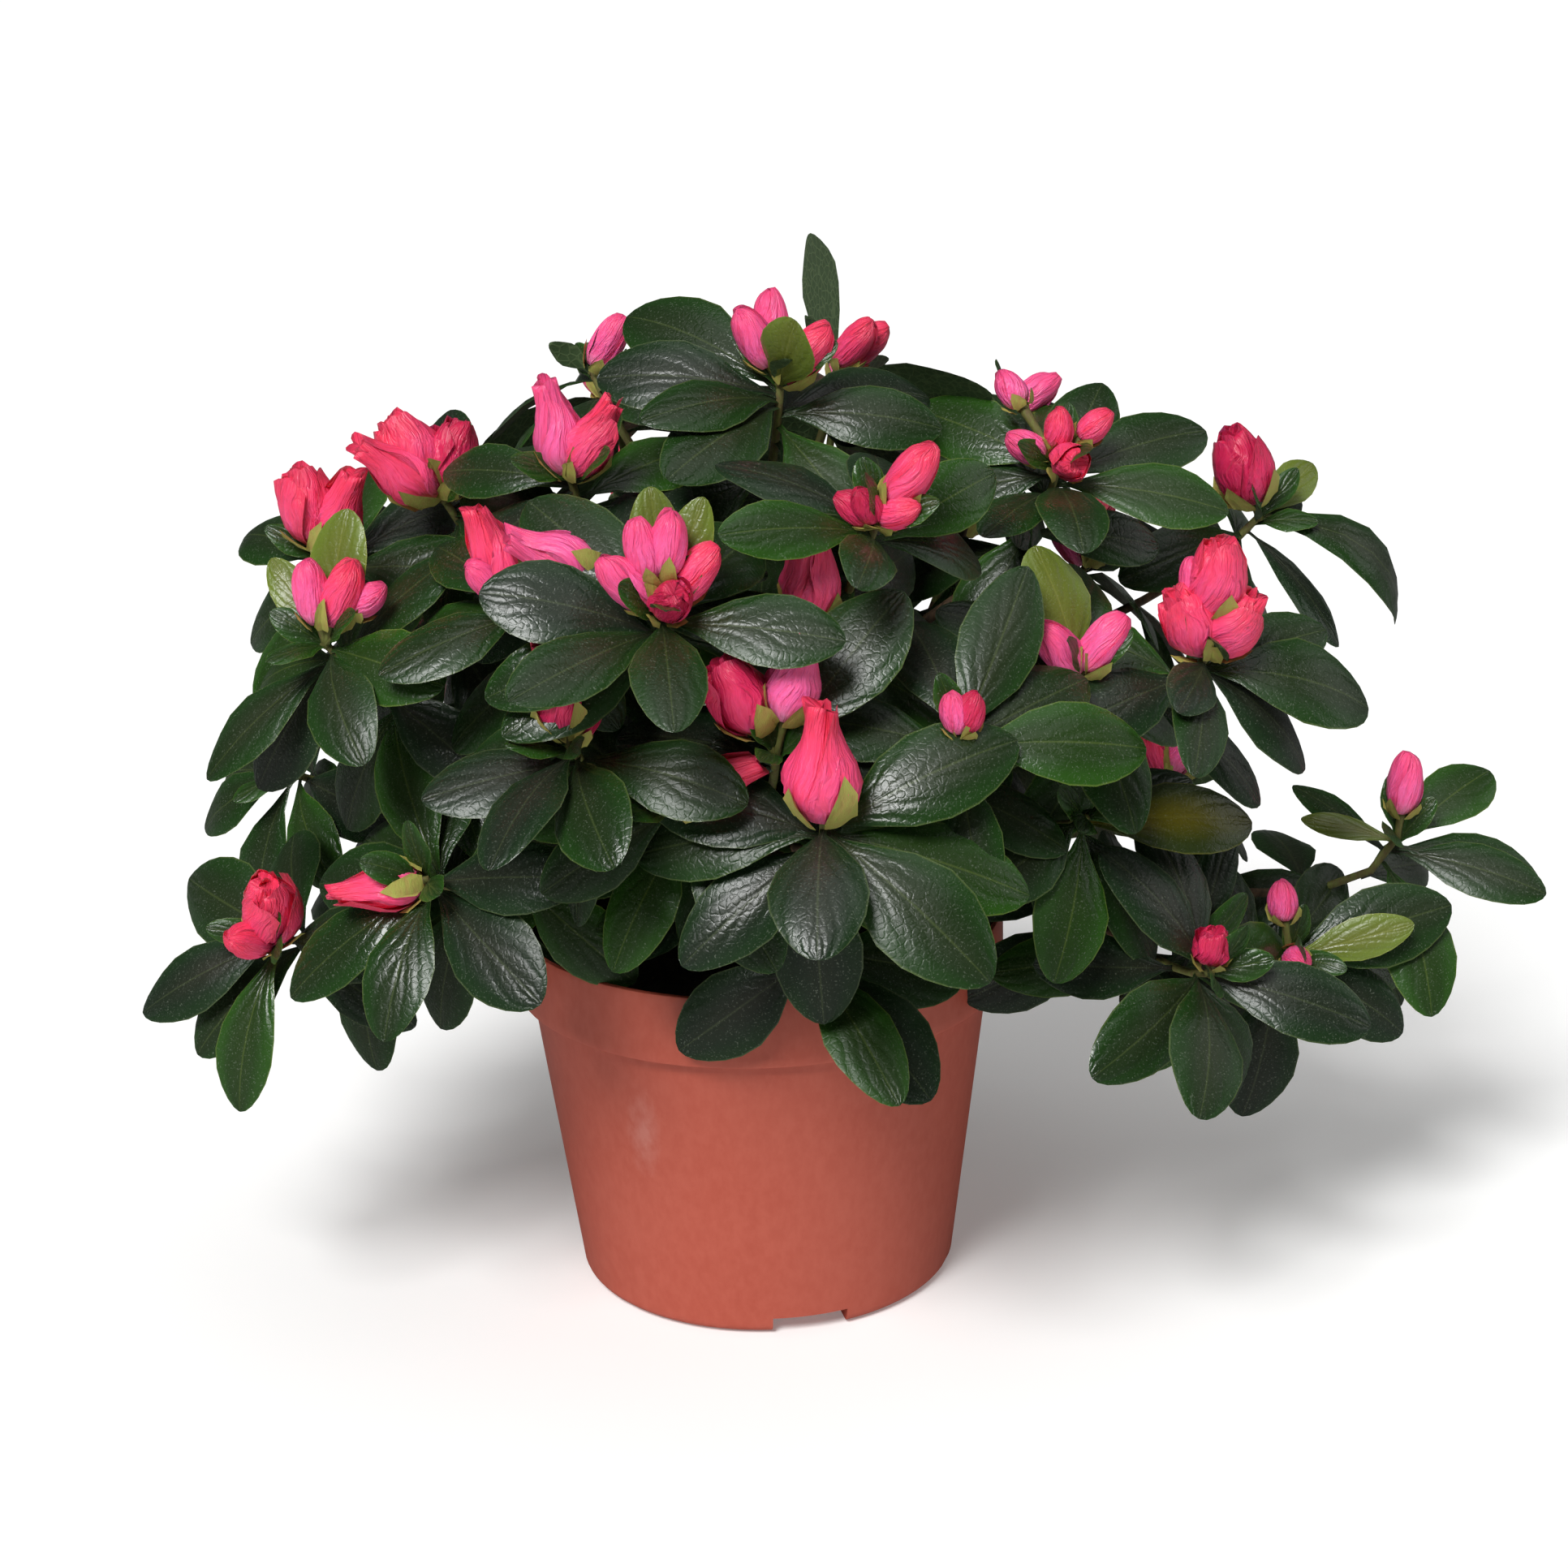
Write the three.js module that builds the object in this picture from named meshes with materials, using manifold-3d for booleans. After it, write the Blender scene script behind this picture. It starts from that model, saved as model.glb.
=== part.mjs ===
// A potted azalea: a plastic pot filled with peat, a short trunk, and boughs that each carry a
// mass of twigs, leaves and flower buds. Millimetres and degrees, +Z up, -Y is the front.
// The origin is the middle of the pot's flat underside. A bearing is a compass angle seen from
// above: 0 points to the front (-Y) and 90 to the plant's +X side. A rise is an angle upwards.
import * as THREE from 'three';
import { mergeVertices } from 'three/addons/utils/BufferGeometryUtils.js';
import Module from 'manifold-3d';

const wasm = await Module();
wasm.setup();

// ---- Driving dimensions ----

const gap = 0.3; // clearance between pieces that touch
const fine = 0.02; // corners that move a surface by less than this are left out

const pot = {
  height: 100.5, rimRadius: 65, bandHeight: 19, shoulderRadius: 61, baseRadius: 50.6,
  wall: 1.4, floor: 1.8, corner: 3, lip: 0.6, sides: 28,
};
const channel = { count: 3, bearing: 12, width: 20, height: 4.5, inner: 15, cover: 1.5 };
const soil = { edge: 90, crown: 92.5, discRadius: 13 };
const trunk = { foot: 92.8, top: 121, footRadius: 7.5, topRadius: 5.6, flare: 4, lean: 2, sides: 12, steps: 6 };
const bough = { rootRadius: 2, tipRadius: 1.5, sides: 5, steps: 3, spread: 0.5, lift: 8 };
const stem = { length: 7, radius: 1.7, sides: 6 };
const twig = { rootRadius: 1.7, tipRadius: 1.2, sides: 3, steps: 3, arch: 0.36 };
const leaf = {
  length: 42, width: 0.62, thickness: 1.5, widest: 0.54,
  sink: 0.4, // how far a leaf or a bud starts behind its root, in the middle of its twig
  free: 5, // from here outwards a blade keeps clear of its own mass too
  turns: [0, 11, -11, 22, -22], // tilts that a leaf tries, as leaves do in search of light
};
const heart = new THREE.Vector3(0, 0, 108); // the point that all shoots spread from
// A shoot's end leans outwards, more so low in the crown, and all but the rear ones, past the
// widest bearing, are turned half-way to the light at the front.
// Its leaves turn their faces up and out towards the same side, by no less than faceLean.
const facing = { least: 14, share: 0.55, turn: 0.5, widest: 105, faceLean: 46 };

// Flower buds: a tight bud, a taller one with petals showing, a half open one and a small one.
const blooms = {
  bud: { length: 20, radius: 5.4 },
  candle: { length: 30, radius: 6.6 },
  open: { length: 28, radius: 9.5 },
  small: { length: 13, radius: 3.8 },
};

// Each mass of foliage has its shoots, and the height at which its bough leaves the trunk.
// A shoot ends at tip, [bearing, rise, reach] from the heart, and axis, where it is given, is
// the bearing and lean of that end. A leaf is a bearing, or [bearing, tilt, length, bend] where
// it stands in its own way: its tilt is measured up from the plane square to the shoot's axis.
// A bud is [kind, bearing, rise, stalk].
const masses = [
  { name: 'top', from: 120, shoots: [
    { tip: [17, 77, 143], leaf: 44, leaves: [[-130, 5, 50], [-95, 5], [-58, 0], [-35, 5], [120, -8], [85, 0], 160, 30,
      [10, 65, 24]], buds: [['bud', -80, 62, 4], ['bud', 80, 48], ['bud', -150, 78, 6]] },
    { tip: [135, 75, 136], axis: [150, 14], leaves: [[-140, 76, 41, 3], [95, 2, 36, 4], 60, 125, 175, -130],
      buds: [['bud', 60, 50], ['bud', 100, 35]] },
    { tip: [-118, 72, 140], axis: [-120, 22], leaf: 34, leaves: [[-110, -5], [180, 12], 30, 75, -45, 130],
      buds: [['bud', 90, 60]] },
  ] },
  { name: 'upper_left', from: 116.5, shoots: [
    { tip: [-37, 61, 141], leaves: [[-120, -5], -80, -155, 170, 125, 70, 15], buds: [['candle', -90, 78],
      ['candle', 70, 58]] },
    { tip: [-72, 55, 136], leaf: 36, leaves: [[170, 10], 120, 70, 25, -20, -70, -120],
      buds: [['open', -90, 56], ['open', -50, 15], ['open', 120, 75]] },
    { tip: [-79, 42, 144], leaves: [[-140, 0], 120, 70, 165, -95, -50], buds: [['open', -90, 76, 3],
      ['candle', 60, 65]] },
  ] },
  { name: 'upper_right', from: 116.5, shoots: [
    { tip: [79, 55, 139], axis: [0, 20], leaves: [[-130, 5], -95, [120, 0, 48], [80, -5, 45], [5, 18], [-30, 15],
      [155, 30], 180, -165], buds: [['bud', 0, 80], ['bud', 85, 42], ['bud', 20, 10], ['candle', -140, 50]] },
  ] },
  { name: 'left', from: 104.5, shoots: [
    { tip: [-64, 36, 141], leaves: [[45, 5], [0, 10], [-62, -30], [-60, -3], [-105, -15, 34], 120, 170, [-150, 35, 20],
      [0, 80, 24]], buds: [['bud', -60, 76], ['bud', 60, 68], ['small', 80, 45]] },
    { tip: [-97, 13, 129], leaves: [[-85, 0], -50, -15, 35, -125, 170, 100] },
  ] },
  { name: 'centre_left', from: 110.5, shoots: [
    { tip: [-11, 45, 144], axis: [10, 38], leaf: 44, leaves: [[5, 22], [75, 12], [155, -10], [-42, 14], [-145, 0, 50],
      [-100, 0], 110, -70, [175, 55, 22]], buds: [['bud', -60, 80, 4], ['bud', 60, 80, 4], ['bud', -60, 50],
      ['small', 20, 35], ['bud', 110, 60]] },
    { tip: [-38, 48, 131], leaves: [-150, 25, -65, 130, -110], buds: [['candle', -80, 68], ['bud', -60, 40]] },
    { tip: [-23, 51, 136], leaves: [110, 60, -20, 160], buds: [['candle', -85, 25]] },
    { tip: [-24, 34, 125], axis: [-35, 30], leaves: [[-120, -18], [-30, 12], [5, 15], 60, -75, 100],
      buds: [['candle', -30, 82], ['candle', 120, 62]] },
  ] },
  { name: 'centre', from: 116.5, shoots: [
    { tip: [21, 54, 144], axis: [40, 28], leaves: [[-110, 0], [-65, 5], [-5, 15, 30], [120, -12], [135, 5], [180, 5],
      -145, 75], buds: [['candle', 85, 60], ['small', -85, 35], ['small', -40, 50]] },
    { tip: [11, 49, 116], leaves: [-70, 70, 125, -130, 10], buds: [['bud', 0, 84, 4]] },
  ] },
  { name: 'right_rear', from: 104.5, shoots: [
    { tip: [102, 32, 164], axis: [51, 40], leaves: [[82, -10, 52, 40], [155, 5, 30], 60, -50, 15, 180, -120],
      buds: [['open', -90, 70, 3]] },
  ] },
  { name: 'right', from: 110.5, shoots: [
    { tip: [64, 31, 144], axis: [36, 36], leaf: 44, leaves: [[-15, 15, 30], [0, 5], [72, -18], [90, -5, 50], [120, 5],
      -50, -120, 155, [-170, 60, 22]], buds: [['open', -80, 48], ['candle', 70, 42], ['open', 60, 75, 6],
      ['bud', -110, 78, 6]] },
    { tip: [53, 36, 123], leaves: [[-175, -5], -120, -40, 30, 120], buds: [['bud', -70, 50], ['bud', 90, 55]] },
  ] },
  { name: 'right_front', from: 104.5, shoots: [
    { tip: [27, 33, 127], leaves: [[-165, -15], [170, -5, 50], [135, -5], [95, -10, 48], -105, 15, -50],
      buds: [['small', -60, 72], ['small', 60, 72]] },
    { tip: [56, 19, 104], leaves: [10, -30, 45, [80, -15, 48], 130, -90] },
  ] },
  { name: 'front', from: 98.5, shoots: [
    { tip: [8, 26, 124], axis: [-5, 42], leaf: 46, leaves: [[-5, 20], [35, -10, 53], [75, -20, 52], [120, -5, 52],
      [-95, -10], [-115, -5], [-170, -15], 150, -45], buds: [['candle', 0, 86]] },
    { tip: [3, 34, 121], leaves: [[150, 15, 50], -165, -120, -75, 100], buds: [['open', -85, 62, 6],
      ['candle', 80, 70, 6]] },
    { tip: [-11, 29, 114], leaves: [-100, -60, 160, -150, 20], buds: [['candle', 80, 28]] },
    { tip: [-13, 16, 75], leaves: [-60, -20, 20, -100, 55] },
    { tip: [10, 5, 74], leaves: [[-35, -28], [20, -32], [27, -12], -80, 75] },
  ] },
  { name: 'lower_left', from: 98.5, shoots: [
    { tip: [-70, 2, 130], leaf: 44, leaves: [[-65, 8], [-45, -20], [70, 15], [-150, -5], 15, 110, 170, [-60, -15, 50]],
      buds: [['open', 60, 80], ['bud', -30, 30]] },
    { tip: [-49, 15, 110], leaf: 44, leaves: [[75, 12], [15, 5], [-25, 12], [-55, -10, 48], [165, -15], [175, 5], 120,
      -110, -145], buds: [['candle', -90, -8]] },
  ] },
  { name: 'lower_right', from: 98.5, shoots: [
    { tip: [62, -3, 127], leaf: 44, leaves: [[-140, 0], [-175, -5], [-15, 18], [25, -15], [40, -5], [60, -5, 52], 140,
      -90, 95], buds: [['bud', 0, 84]] },
    { tip: [80, -7, 141], axis: [20, 58], leaves: [[45, 5], [90, -15], [120, -5, 50], 10, 160, -150, -60],
      buds: [['bud', -60, 80, 5], ['small', 10, 12]] },
    { tip: [90, 2, 170], axis: [10, 26], leaves: [[135, 5], [83, -8, 42], [68, -8], [-150, -8], [-115, -5, 26],
      [35, -40]], buds: [['candle', 60, 84]] },
  ] },
];

// The rear half: one mass every 26 degrees, with its shoots on an oval crown.
const rear = {
  from: [110.5, 98.5, 104.5, 98.5, 110.5, 104.5], bearing: 106, step: 26, rises: [6, 33], crest: 59, offset: 13,
  across: 120, height: 146,
};

for (let k = 0; k < rear.from.length; k++) {
  const rises = k % 2 ? rear.rises : [...rear.rises, rear.crest];
  masses.push({
    name: `rear_${k + 1}`,
    from: rear.from[k],
    shoots: rises.map((rise, j) => {
      const reach = 1 / Math.hypot(Math.cos(rad(rise)) / rear.across, Math.sin(rad(rise)) / rear.height);
      const bearing = rear.bearing + rear.step * k + rear.offset * (j % 2);
      const spray = [0, 52, 104, 156, 208, 260, 312].map((turn) => turn + 17 * (k + 2 * j));
      return { tip: [bearing, rise, reach], leaves: spray, buds: [['candle', bearing, 72], ['bud', bearing + 150, 60]] };
    }),
  });
}

// ---- Small helpers ----

function rad(degrees) {
  return THREE.MathUtils.degToRad(degrees);
}

// A repeatable number from 0 to 1 for each seed.
function chance(seed) {
  const value = Math.sin(seed * 12.9898 + 78.233) * 43758.5453;
  return value - Math.floor(value);
}

function direction(bearing, rise) {
  const [b, r] = [rad(bearing), rad(rise)];
  return new THREE.Vector3(Math.sin(b) * Math.cos(r), -Math.cos(b) * Math.cos(r), Math.sin(r));
}

const up = direction(0, 90);

// ---- Solids ----

// Turns a closed geometry into a solid, leaving out the flat slivers at its poles.
function solid(geometry) {
  geometry.deleteAttribute('normal');
  geometry.deleteAttribute('uv');
  const merged = mergeVertices(geometry, 1e-4);
  const corners = merged.index.array;
  const faces = [];
  for (let i = 0; i < corners.length; i += 3) {
    const [a, b, c] = corners.slice(i, i + 3);
    if (a !== b && b !== c && c !== a) faces.push(a, b, c);
  }
  return new wasm.Manifold(new wasm.Mesh({
    numProp: 3,
    vertProperties: new Float32Array(merged.attributes.position.array),
    triVerts: new Uint32Array(faces),
  }));
}

// A body of revolution about +Z from a profile of [radius, height] points.
function turned(profile) {
  const points = profile.map(([radius, height]) => new THREE.Vector2(radius, height));
  return solid(new THREE.LatheGeometry(points, pot.sides).rotateX(Math.PI / 2));
}

// A tapering limb: a cylinder whose rings are laid along a curve.
function limb(curve, radiusAt, sides, steps) {
  const tube = new THREE.CylinderGeometry(1, 1, 1, sides, steps);
  const frames = curve.computeFrenetFrames(steps);
  const place = tube.attributes.position;
  for (let i = 0; i < place.count; i++) {
    const along = place.getY(i) + 0.5;
    const ring = Math.round(along * steps);
    const radius = radiusAt(along);
    const point = curve.getPointAt(along)
      .addScaledVector(frames.binormals[ring], place.getX(i) * radius)
      .addScaledVector(frames.normals[ring], place.getZ(i) * radius);
    place.setXYZ(i, point.x, point.y, point.z);
  }
  return solid(tube);
}

const taper = (root, tip) => (along) => root + (tip - root) * along;

// A leaf: an octahedron drawn out into a blade whose two halves slope up and then down. It is
// thickest along its middle, and its underside is flat but for the crease between the halves.
function leafBlade({ root, along, face, length, bend }, grow = 0, start = -leaf.sink - grow) {
  const blade = new THREE.OctahedronGeometry(1);
  const side = new THREE.Vector3().crossVectors(face, along);
  const rising = along.clone().applyAxisAngle(side, -rad(bend));
  const falling = along.clone().applyAxisAngle(side, rad(bend));
  const middle = root.clone().addScaledVector(rising, length * leaf.widest);
  const halfWidth = (length * leaf.width) / 2 + grow;
  const rib = leaf.thickness + grow;
  const place = blade.attributes.position;
  for (let i = 0; i < place.count; i++) {
    const [x, y, z] = [place.getX(i), place.getY(i), place.getZ(i)];
    const point = middle.clone();
    if (x < -0.5) point.copy(root).addScaledVector(rising, start);
    else if (x > 0.5) point.addScaledVector(falling, length * (1 - leaf.widest) + grow);
    else point.addScaledVector(side, y * halfWidth).addScaledVector(face, z > 0.5 ? rib : -grow);
    place.setXYZ(i, point.x, point.y, point.z);
  }
  return solid(blade).simplify(fine);
}

// A flower bud: a slim egg that starts inside the tip of its twig.
function budBody({ root, along, length, radius }, grow = 0) {
  const egg = new THREE.SphereGeometry(1, 5, 3);
  egg.scale(radius + grow, length / 2 + grow, radius + grow);
  egg.applyQuaternion(new THREE.Quaternion().setFromUnitVectors(new THREE.Vector3(0, 1, 0), along));
  const middle = root.clone().addScaledVector(along, length / 2 - leaf.sink);
  egg.translate(middle.x, middle.y, middle.z);
  return solid(egg);
}

// ---- Pot and soil ----

const bandFoot = pot.height - pot.bandHeight;

// The outline of the pot drawn in by an inset, from the axis at its underside up to a height.
function potProfile(inset, floor, top) {
  const base = pot.baseRadius - inset;
  const corner = [0, 30, 60, 90].map((turn) => [
    base - pot.corner * (1 - Math.sin(rad(turn))),
    floor + pot.corner * (1 - Math.cos(rad(turn))),
  ]);
  const step = bandFoot + inset;
  return [[0, floor], ...corner, [pot.shoulderRadius - inset, step], [pot.rimRadius - inset, step + gap],
    [pot.rimRadius - inset, top]];
}

function radialBox(width, inner, outer, height, foot, bearing) {
  const box = new THREE.BoxGeometry(width, outer - inner, height);
  box.translate(0, -(inner + outer) / 2, foot + height / 2);
  return solid(box.rotateZ(rad(bearing)));
}

function drainage(grow, foot) {
  const bearings = Array.from({ length: channel.count }, (_, k) => channel.bearing + (360 / channel.count) * k);
  return bearings.map((bearing) => radialBox(channel.width + 2 * grow, channel.inner - grow, pot.rimRadius,
    channel.height + grow - foot, foot, bearing)).reduce((all, next) => all.add(next));
}

function makePot() {
  const outer = potProfile(0, 0, pot.height - pot.lip);
  const inner = potProfile(pot.wall, pot.floor, pot.height - pot.lip);
  const lip = [[pot.rimRadius - pot.lip / 2, pot.height], [pot.rimRadius - pot.wall + pot.lip / 2, pot.height]];
  const shell = turned([...outer, ...lip, ...inner.reverse()]);
  const block = turned([...outer, [0, pot.height - pot.lip]]);
  const covers = drainage(channel.cover, 0).intersect(block);
  return shell.add(covers).subtract(drainage(0, -1));
}

function makeSoil() {
  const inset = pot.wall + gap;
  const wallSide = potProfile(inset, pot.floor + gap, soil.edge);
  const filling = turned([...wallSide, [soil.discRadius, soil.crown], [0, soil.crown]]);
  return filling.subtract(drainage(channel.cover + gap, 0));
}

// ---- Trunk and boughs ----

const trunkFoot = new THREE.Vector3(0, 0, trunk.foot);
const trunkTop = new THREE.Vector3(trunk.lean, 0, trunk.top);
const trunkLine = new THREE.QuadraticBezierCurve3(trunkFoot, new THREE.Vector3(0, 0, trunk.top - 10), trunkTop);

function trunkRadius(along, grow = 0) {
  const flare = trunk.flare * Math.max(0, 1 - 3 * along) ** 2;
  return trunk.footRadius + (trunk.topRadius - trunk.footRadius) * along + flare + grow;
}

const makeTrunk = (grow) => limb(trunkLine, (along) => trunkRadius(along, grow), trunk.sides, trunk.steps);

// A bough leaves the trunk at its own height and arches out to the fork of its mass.
function boughLine(mass) {
  const middle = mass.shoots.reduce((sum, shoot) => sum.add(shoot.end), new THREE.Vector3())
    .divideScalar(mass.shoots.length);
  const fork = heart.clone().lerp(middle, bough.spread).addScaledVector(up, bough.lift);
  const start = new THREE.Vector3(0, 0, mass.from);
  const reach = fork.distanceTo(start);
  const outward = middle.clone().sub(heart).setZ(0).normalize();
  const control = start.clone().addScaledVector(outward, reach * 0.35).addScaledVector(up, reach * 0.2);
  return new THREE.QuadraticBezierCurve3(start, control, fork);
}

// ---- Shoots ----

// Works out where a shoot ends, which way its tip faces, and the line of its twig.
function settleShoot(shoot, number) {
  const [bearing, rise, reach] = shoot.tip;
  shoot.number = number;
  shoot.end = heart.clone().addScaledVector(direction(bearing, rise), reach);
  const turn = Math.abs(bearing) < facing.widest ? facing.turn : 1;
  const [toward, lean] = shoot.axis ?? [bearing * turn, facing.least + facing.share * (90 - rise)];
  shoot.facing = direction(toward, 90 - lean);
  shoot.light = direction(toward, 90 - Math.max(lean, facing.faceLean));
}

function settleTwig(shoot, mass) {
  const start = mass.stemTip;
  const control = shoot.end.clone().addScaledVector(shoot.facing, -twig.arch * start.distanceTo(shoot.end));
  shoot.line = new THREE.QuadraticBezierCurve3(start, control, shoot.end);
}

const makeTwig = (shoot, grow) => limb(shoot.line, taper(twig.rootRadius + grow, twig.tipRadius + grow), twig.sides,
  twig.steps);

// The middle of a twig, which runs straight between its rings.
function onTwig(line, along) {
  const ring = Math.min(Math.floor(along * twig.steps), twig.steps - 1);
  const [near, far] = [ring, ring + 1].map((number) => line.getPointAt(number / twig.steps));
  return near.lerp(far, along * twig.steps - ring);
}

// A direction at a bearing, tilted up from the plane square to the shoot's axis.
function offShoot(shoot, bearing, tilt) {
  const flat = direction(bearing, 0).projectOnPlane(shoot.facing).normalize();
  return flat.multiplyScalar(Math.cos(rad(tilt))).addScaledVector(shoot.facing, Math.sin(rad(tilt)));
}

function placeLeaf(shoot, { bearing, tilt, length, bend, roll = 0, back }) {
  const along = offShoot(shoot, bearing, tilt);
  const face = shoot.light.clone().projectOnPlane(along).normalize().applyAxisAngle(along, rad(roll));
  const root = onTwig(shoot.line, Math.max(0.1, 1 - back / shoot.line.getLength()));
  return { root, along, face, length, bend };
}

// All leaves of a shoot, the most important first: the ones it lists, then older ones lower down
// the twig.
function leavesOf(shoot) {
  const size = shoot.leaf ?? leaf.length;
  const seed = 100 * shoot.number;
  const listed = shoot.leaves.map((entry, k) => {
    const [bearing, tilt, length, bend] = [entry].flat();
    return {
      bearing,
      tilt: tilt ?? -2 - 18 * chance(seed + k),
      length: length ?? size * (0.9 + 0.18 * chance(seed + k + 20)),
      bend: bend ?? 5 + 8 * chance(seed + k + 40),
      roll: 20 * chance(seed + k + 60) - 10,
      back: 2.4 + 1.4 * k,
    };
  });
  const turn = 360 * chance(seed + 80);
  const lower = [0, 1, 2].map((k) => ({
    bearing: turn + 137.5 * k, tilt: -15 - 22 * chance(seed + k + 82), length: size * 0.95,
    bend: 8, roll: 20 * chance(seed + k + 86) - 10, back: 17 + 5 * k,
  }));
  return [...listed, ...lower];
}

function budsOf(shoot) {
  return (shoot.buds ?? []).map(([kind, bearing, rise, stalk = 0]) => ({
    root: shoot.end, along: direction(bearing, rise), radius: blooms[kind].radius, length: blooms[kind].length + stalk,
  }));
}

// ---- Growing the plant ----

const taken = []; // every solid so far, with the mass that owns it

function apart(a, b) {
  return [0, 1, 2].some((axis) => a.max[axis] < b.min[axis] || b.max[axis] < a.min[axis]);
}

// True where a solid, grown by the gap, touches nothing outside its own mass.
function isClear(guard, owner) {
  const box = guard.boundingBox();
  return !taken.some((other) => {
    if (other.owner === owner || apart(box, other.box)) return false;
    const shared = other.body.intersect(guard);
    const touching = !shared.isEmpty();
    shared.delete();
    return touching;
  });
}

function take(body, owner) {
  taken.push({ body, owner, box: body.boundingBox() });
  return body;
}

// Joins the parts of a mass. Its largest piece is kept, so loose scrap and sealed hollows go.
function fuse(parts) {
  const pieces = parts.reduce((all, next) => all.add(next)).decompose();
  return pieces.reduce((best, piece) => (piece.volume() > best.volume() ? piece : best)).simplify(fine);
}

const potBody = take(makePot(), 'pot');
const soilBody = take(makeSoil(), 'soil');
const trunkBody = take(makeTrunk(0), 'trunk');
const trunkGuard = makeTrunk(gap);

const shoots = masses.flatMap((mass) => mass.shoots.map((shoot) => ({ shoot, mass })));
shoots.forEach(({ shoot }, number) => settleShoot(shoot, number));

for (const mass of masses) {
  const line = boughLine(mass);
  const tube = limb(line, taper(bough.rootRadius, bough.tipRadius), bough.sides, bough.steps);
  mass.bough = take(tube.subtract(trunkGuard), `bough_${mass.name}`);
  const ahead = line.getTangentAt(1);
  mass.stemFoot = line.getPointAt(1).addScaledVector(ahead, gap);
  mass.stemTip = mass.stemFoot.clone().addScaledVector(ahead, stem.length / 2);
  const stemLine = new THREE.LineCurve3(mass.stemFoot, mass.stemFoot.clone().addScaledVector(ahead, stem.length));
  mass.parts = [take(limb(stemLine, () => stem.radius, stem.sides, 1), mass.name)];
}

// Keeps a part of a mass if the same part grown by the gap is clear of everything else.
function grow(make, mass) {
  if (!isClear(make(gap), mass.name)) return;
  mass.parts.push(take(make(0), mass.name));
}

for (const { shoot, mass } of shoots) {
  settleTwig(shoot, mass);
  grow((extra) => makeTwig(shoot, extra), mass);
}
for (const { shoot, mass } of shoots) {
  for (const bud of budsOf(shoot)) grow((extra) => budBody(bud, extra), mass);
}

// A leaf takes the first tilt at which its root is clear of all other masses, and its blade of
// its own mass as well. One that finds none is left out.
function growLeaf(one, shoot, mass) {
  for (const turn of leaf.turns) {
    const placed = placeLeaf(shoot, { ...one, tilt: one.tilt + turn });
    if (isClear(leafBlade(placed, gap), mass.name) && isClear(leafBlade(placed, gap, leaf.free), 'none')) {
      mass.parts.push(take(leafBlade(placed), mass.name));
      return;
    }
  }
}

// Leaves are taken in turn from all shoots, so that none fills its neighbours' room first.
const queues = shoots.map(({ shoot, mass }) => ({ shoot, mass, leaves: leavesOf(shoot) }));
const longest = Math.max(...queues.map(({ leaves }) => leaves.length));
for (let rank = 0; rank < longest; rank++) {
  for (const { shoot, mass, leaves } of queues) {
    if (rank < leaves.length) growLeaf(leaves[rank], shoot, mass);
  }
}

// ---- The scene graph ----

const finishes = {
  pot: { color: '#b4574a', roughness: 0.5 },
  soil: { color: '#2b2019', roughness: 0.95 },
  bark: { color: '#5b4632', roughness: 0.85 },
  foliage: { color: '#2c4a2a', roughness: 0.42 },
};

function node(name, body, finish) {
  const { vertProperties, triVerts } = body.getMesh();
  const geometry = new THREE.BufferGeometry();
  geometry.setAttribute('position', new THREE.BufferAttribute(vertProperties, 3));
  geometry.setIndex(new THREE.BufferAttribute(triVerts, 1));
  geometry.computeVertexNormals();
  const mesh = new THREE.Mesh(geometry, new THREE.MeshStandardMaterial({ ...finishes[finish], metalness: 0 }));
  mesh.name = name;
  return mesh;
}

const container = new THREE.Group();
container.add(node('pot', potBody, 'pot'), node('soil', soilBody, 'soil'));

const plant = new THREE.Group();
plant.add(node('trunk', trunkBody, 'bark'));
for (const mass of masses) {
  plant.add(node(`bough_${mass.name}`, mass.bough, 'bark'));
  plant.add(node(`foliage_${mass.name}`, fuse(mass.parts), 'foliage'));
}

const azalea = new THREE.Group();
azalea.add(container, plant);

export default azalea;
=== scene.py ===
import bmesh
import bpy
import math
import numpy as np
from functools import partial
from mathutils import Matrix
from mathutils.bvhtree import BVHTree


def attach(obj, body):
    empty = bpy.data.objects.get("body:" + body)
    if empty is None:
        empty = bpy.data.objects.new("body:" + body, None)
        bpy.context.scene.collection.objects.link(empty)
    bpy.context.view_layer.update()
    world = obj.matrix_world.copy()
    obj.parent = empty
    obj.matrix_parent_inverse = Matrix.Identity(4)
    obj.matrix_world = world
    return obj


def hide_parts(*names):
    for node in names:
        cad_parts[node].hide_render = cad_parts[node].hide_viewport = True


# A potted azalea in bud. Sizes are in millimetres and angles in degrees until a mesh is made.
# A bearing is a compass angle seen from above: 0 points to the front (-Y), 90 to +X.

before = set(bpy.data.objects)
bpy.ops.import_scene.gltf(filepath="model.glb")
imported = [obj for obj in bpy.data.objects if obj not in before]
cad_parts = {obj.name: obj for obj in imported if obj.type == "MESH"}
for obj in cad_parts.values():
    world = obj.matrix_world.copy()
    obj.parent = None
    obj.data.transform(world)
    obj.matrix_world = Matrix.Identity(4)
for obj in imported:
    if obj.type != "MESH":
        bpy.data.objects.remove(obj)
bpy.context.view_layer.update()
mm = 0.001


def linear(hexColour):
    # one sRGB hex value as linear red, green, blue and alpha
    parts = [int(hexColour[k:k + 2], 16) / 255 for k in (1, 3, 5)]
    return [p / 12.92 if p <= 0.04045 else ((p + 0.055) / 1.055) ** 2.4 for p in parts] + [1.0]


def direction(bearing, rise):
    b, r = math.radians(bearing), math.radians(rise)
    return np.array([math.sin(b) * math.cos(r), -math.cos(b) * math.cos(r), math.sin(r)])


def unit(vectors):
    return vectors / np.maximum(np.linalg.norm(vectors, axis=-1, keepdims=True), 1e-12)


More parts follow.
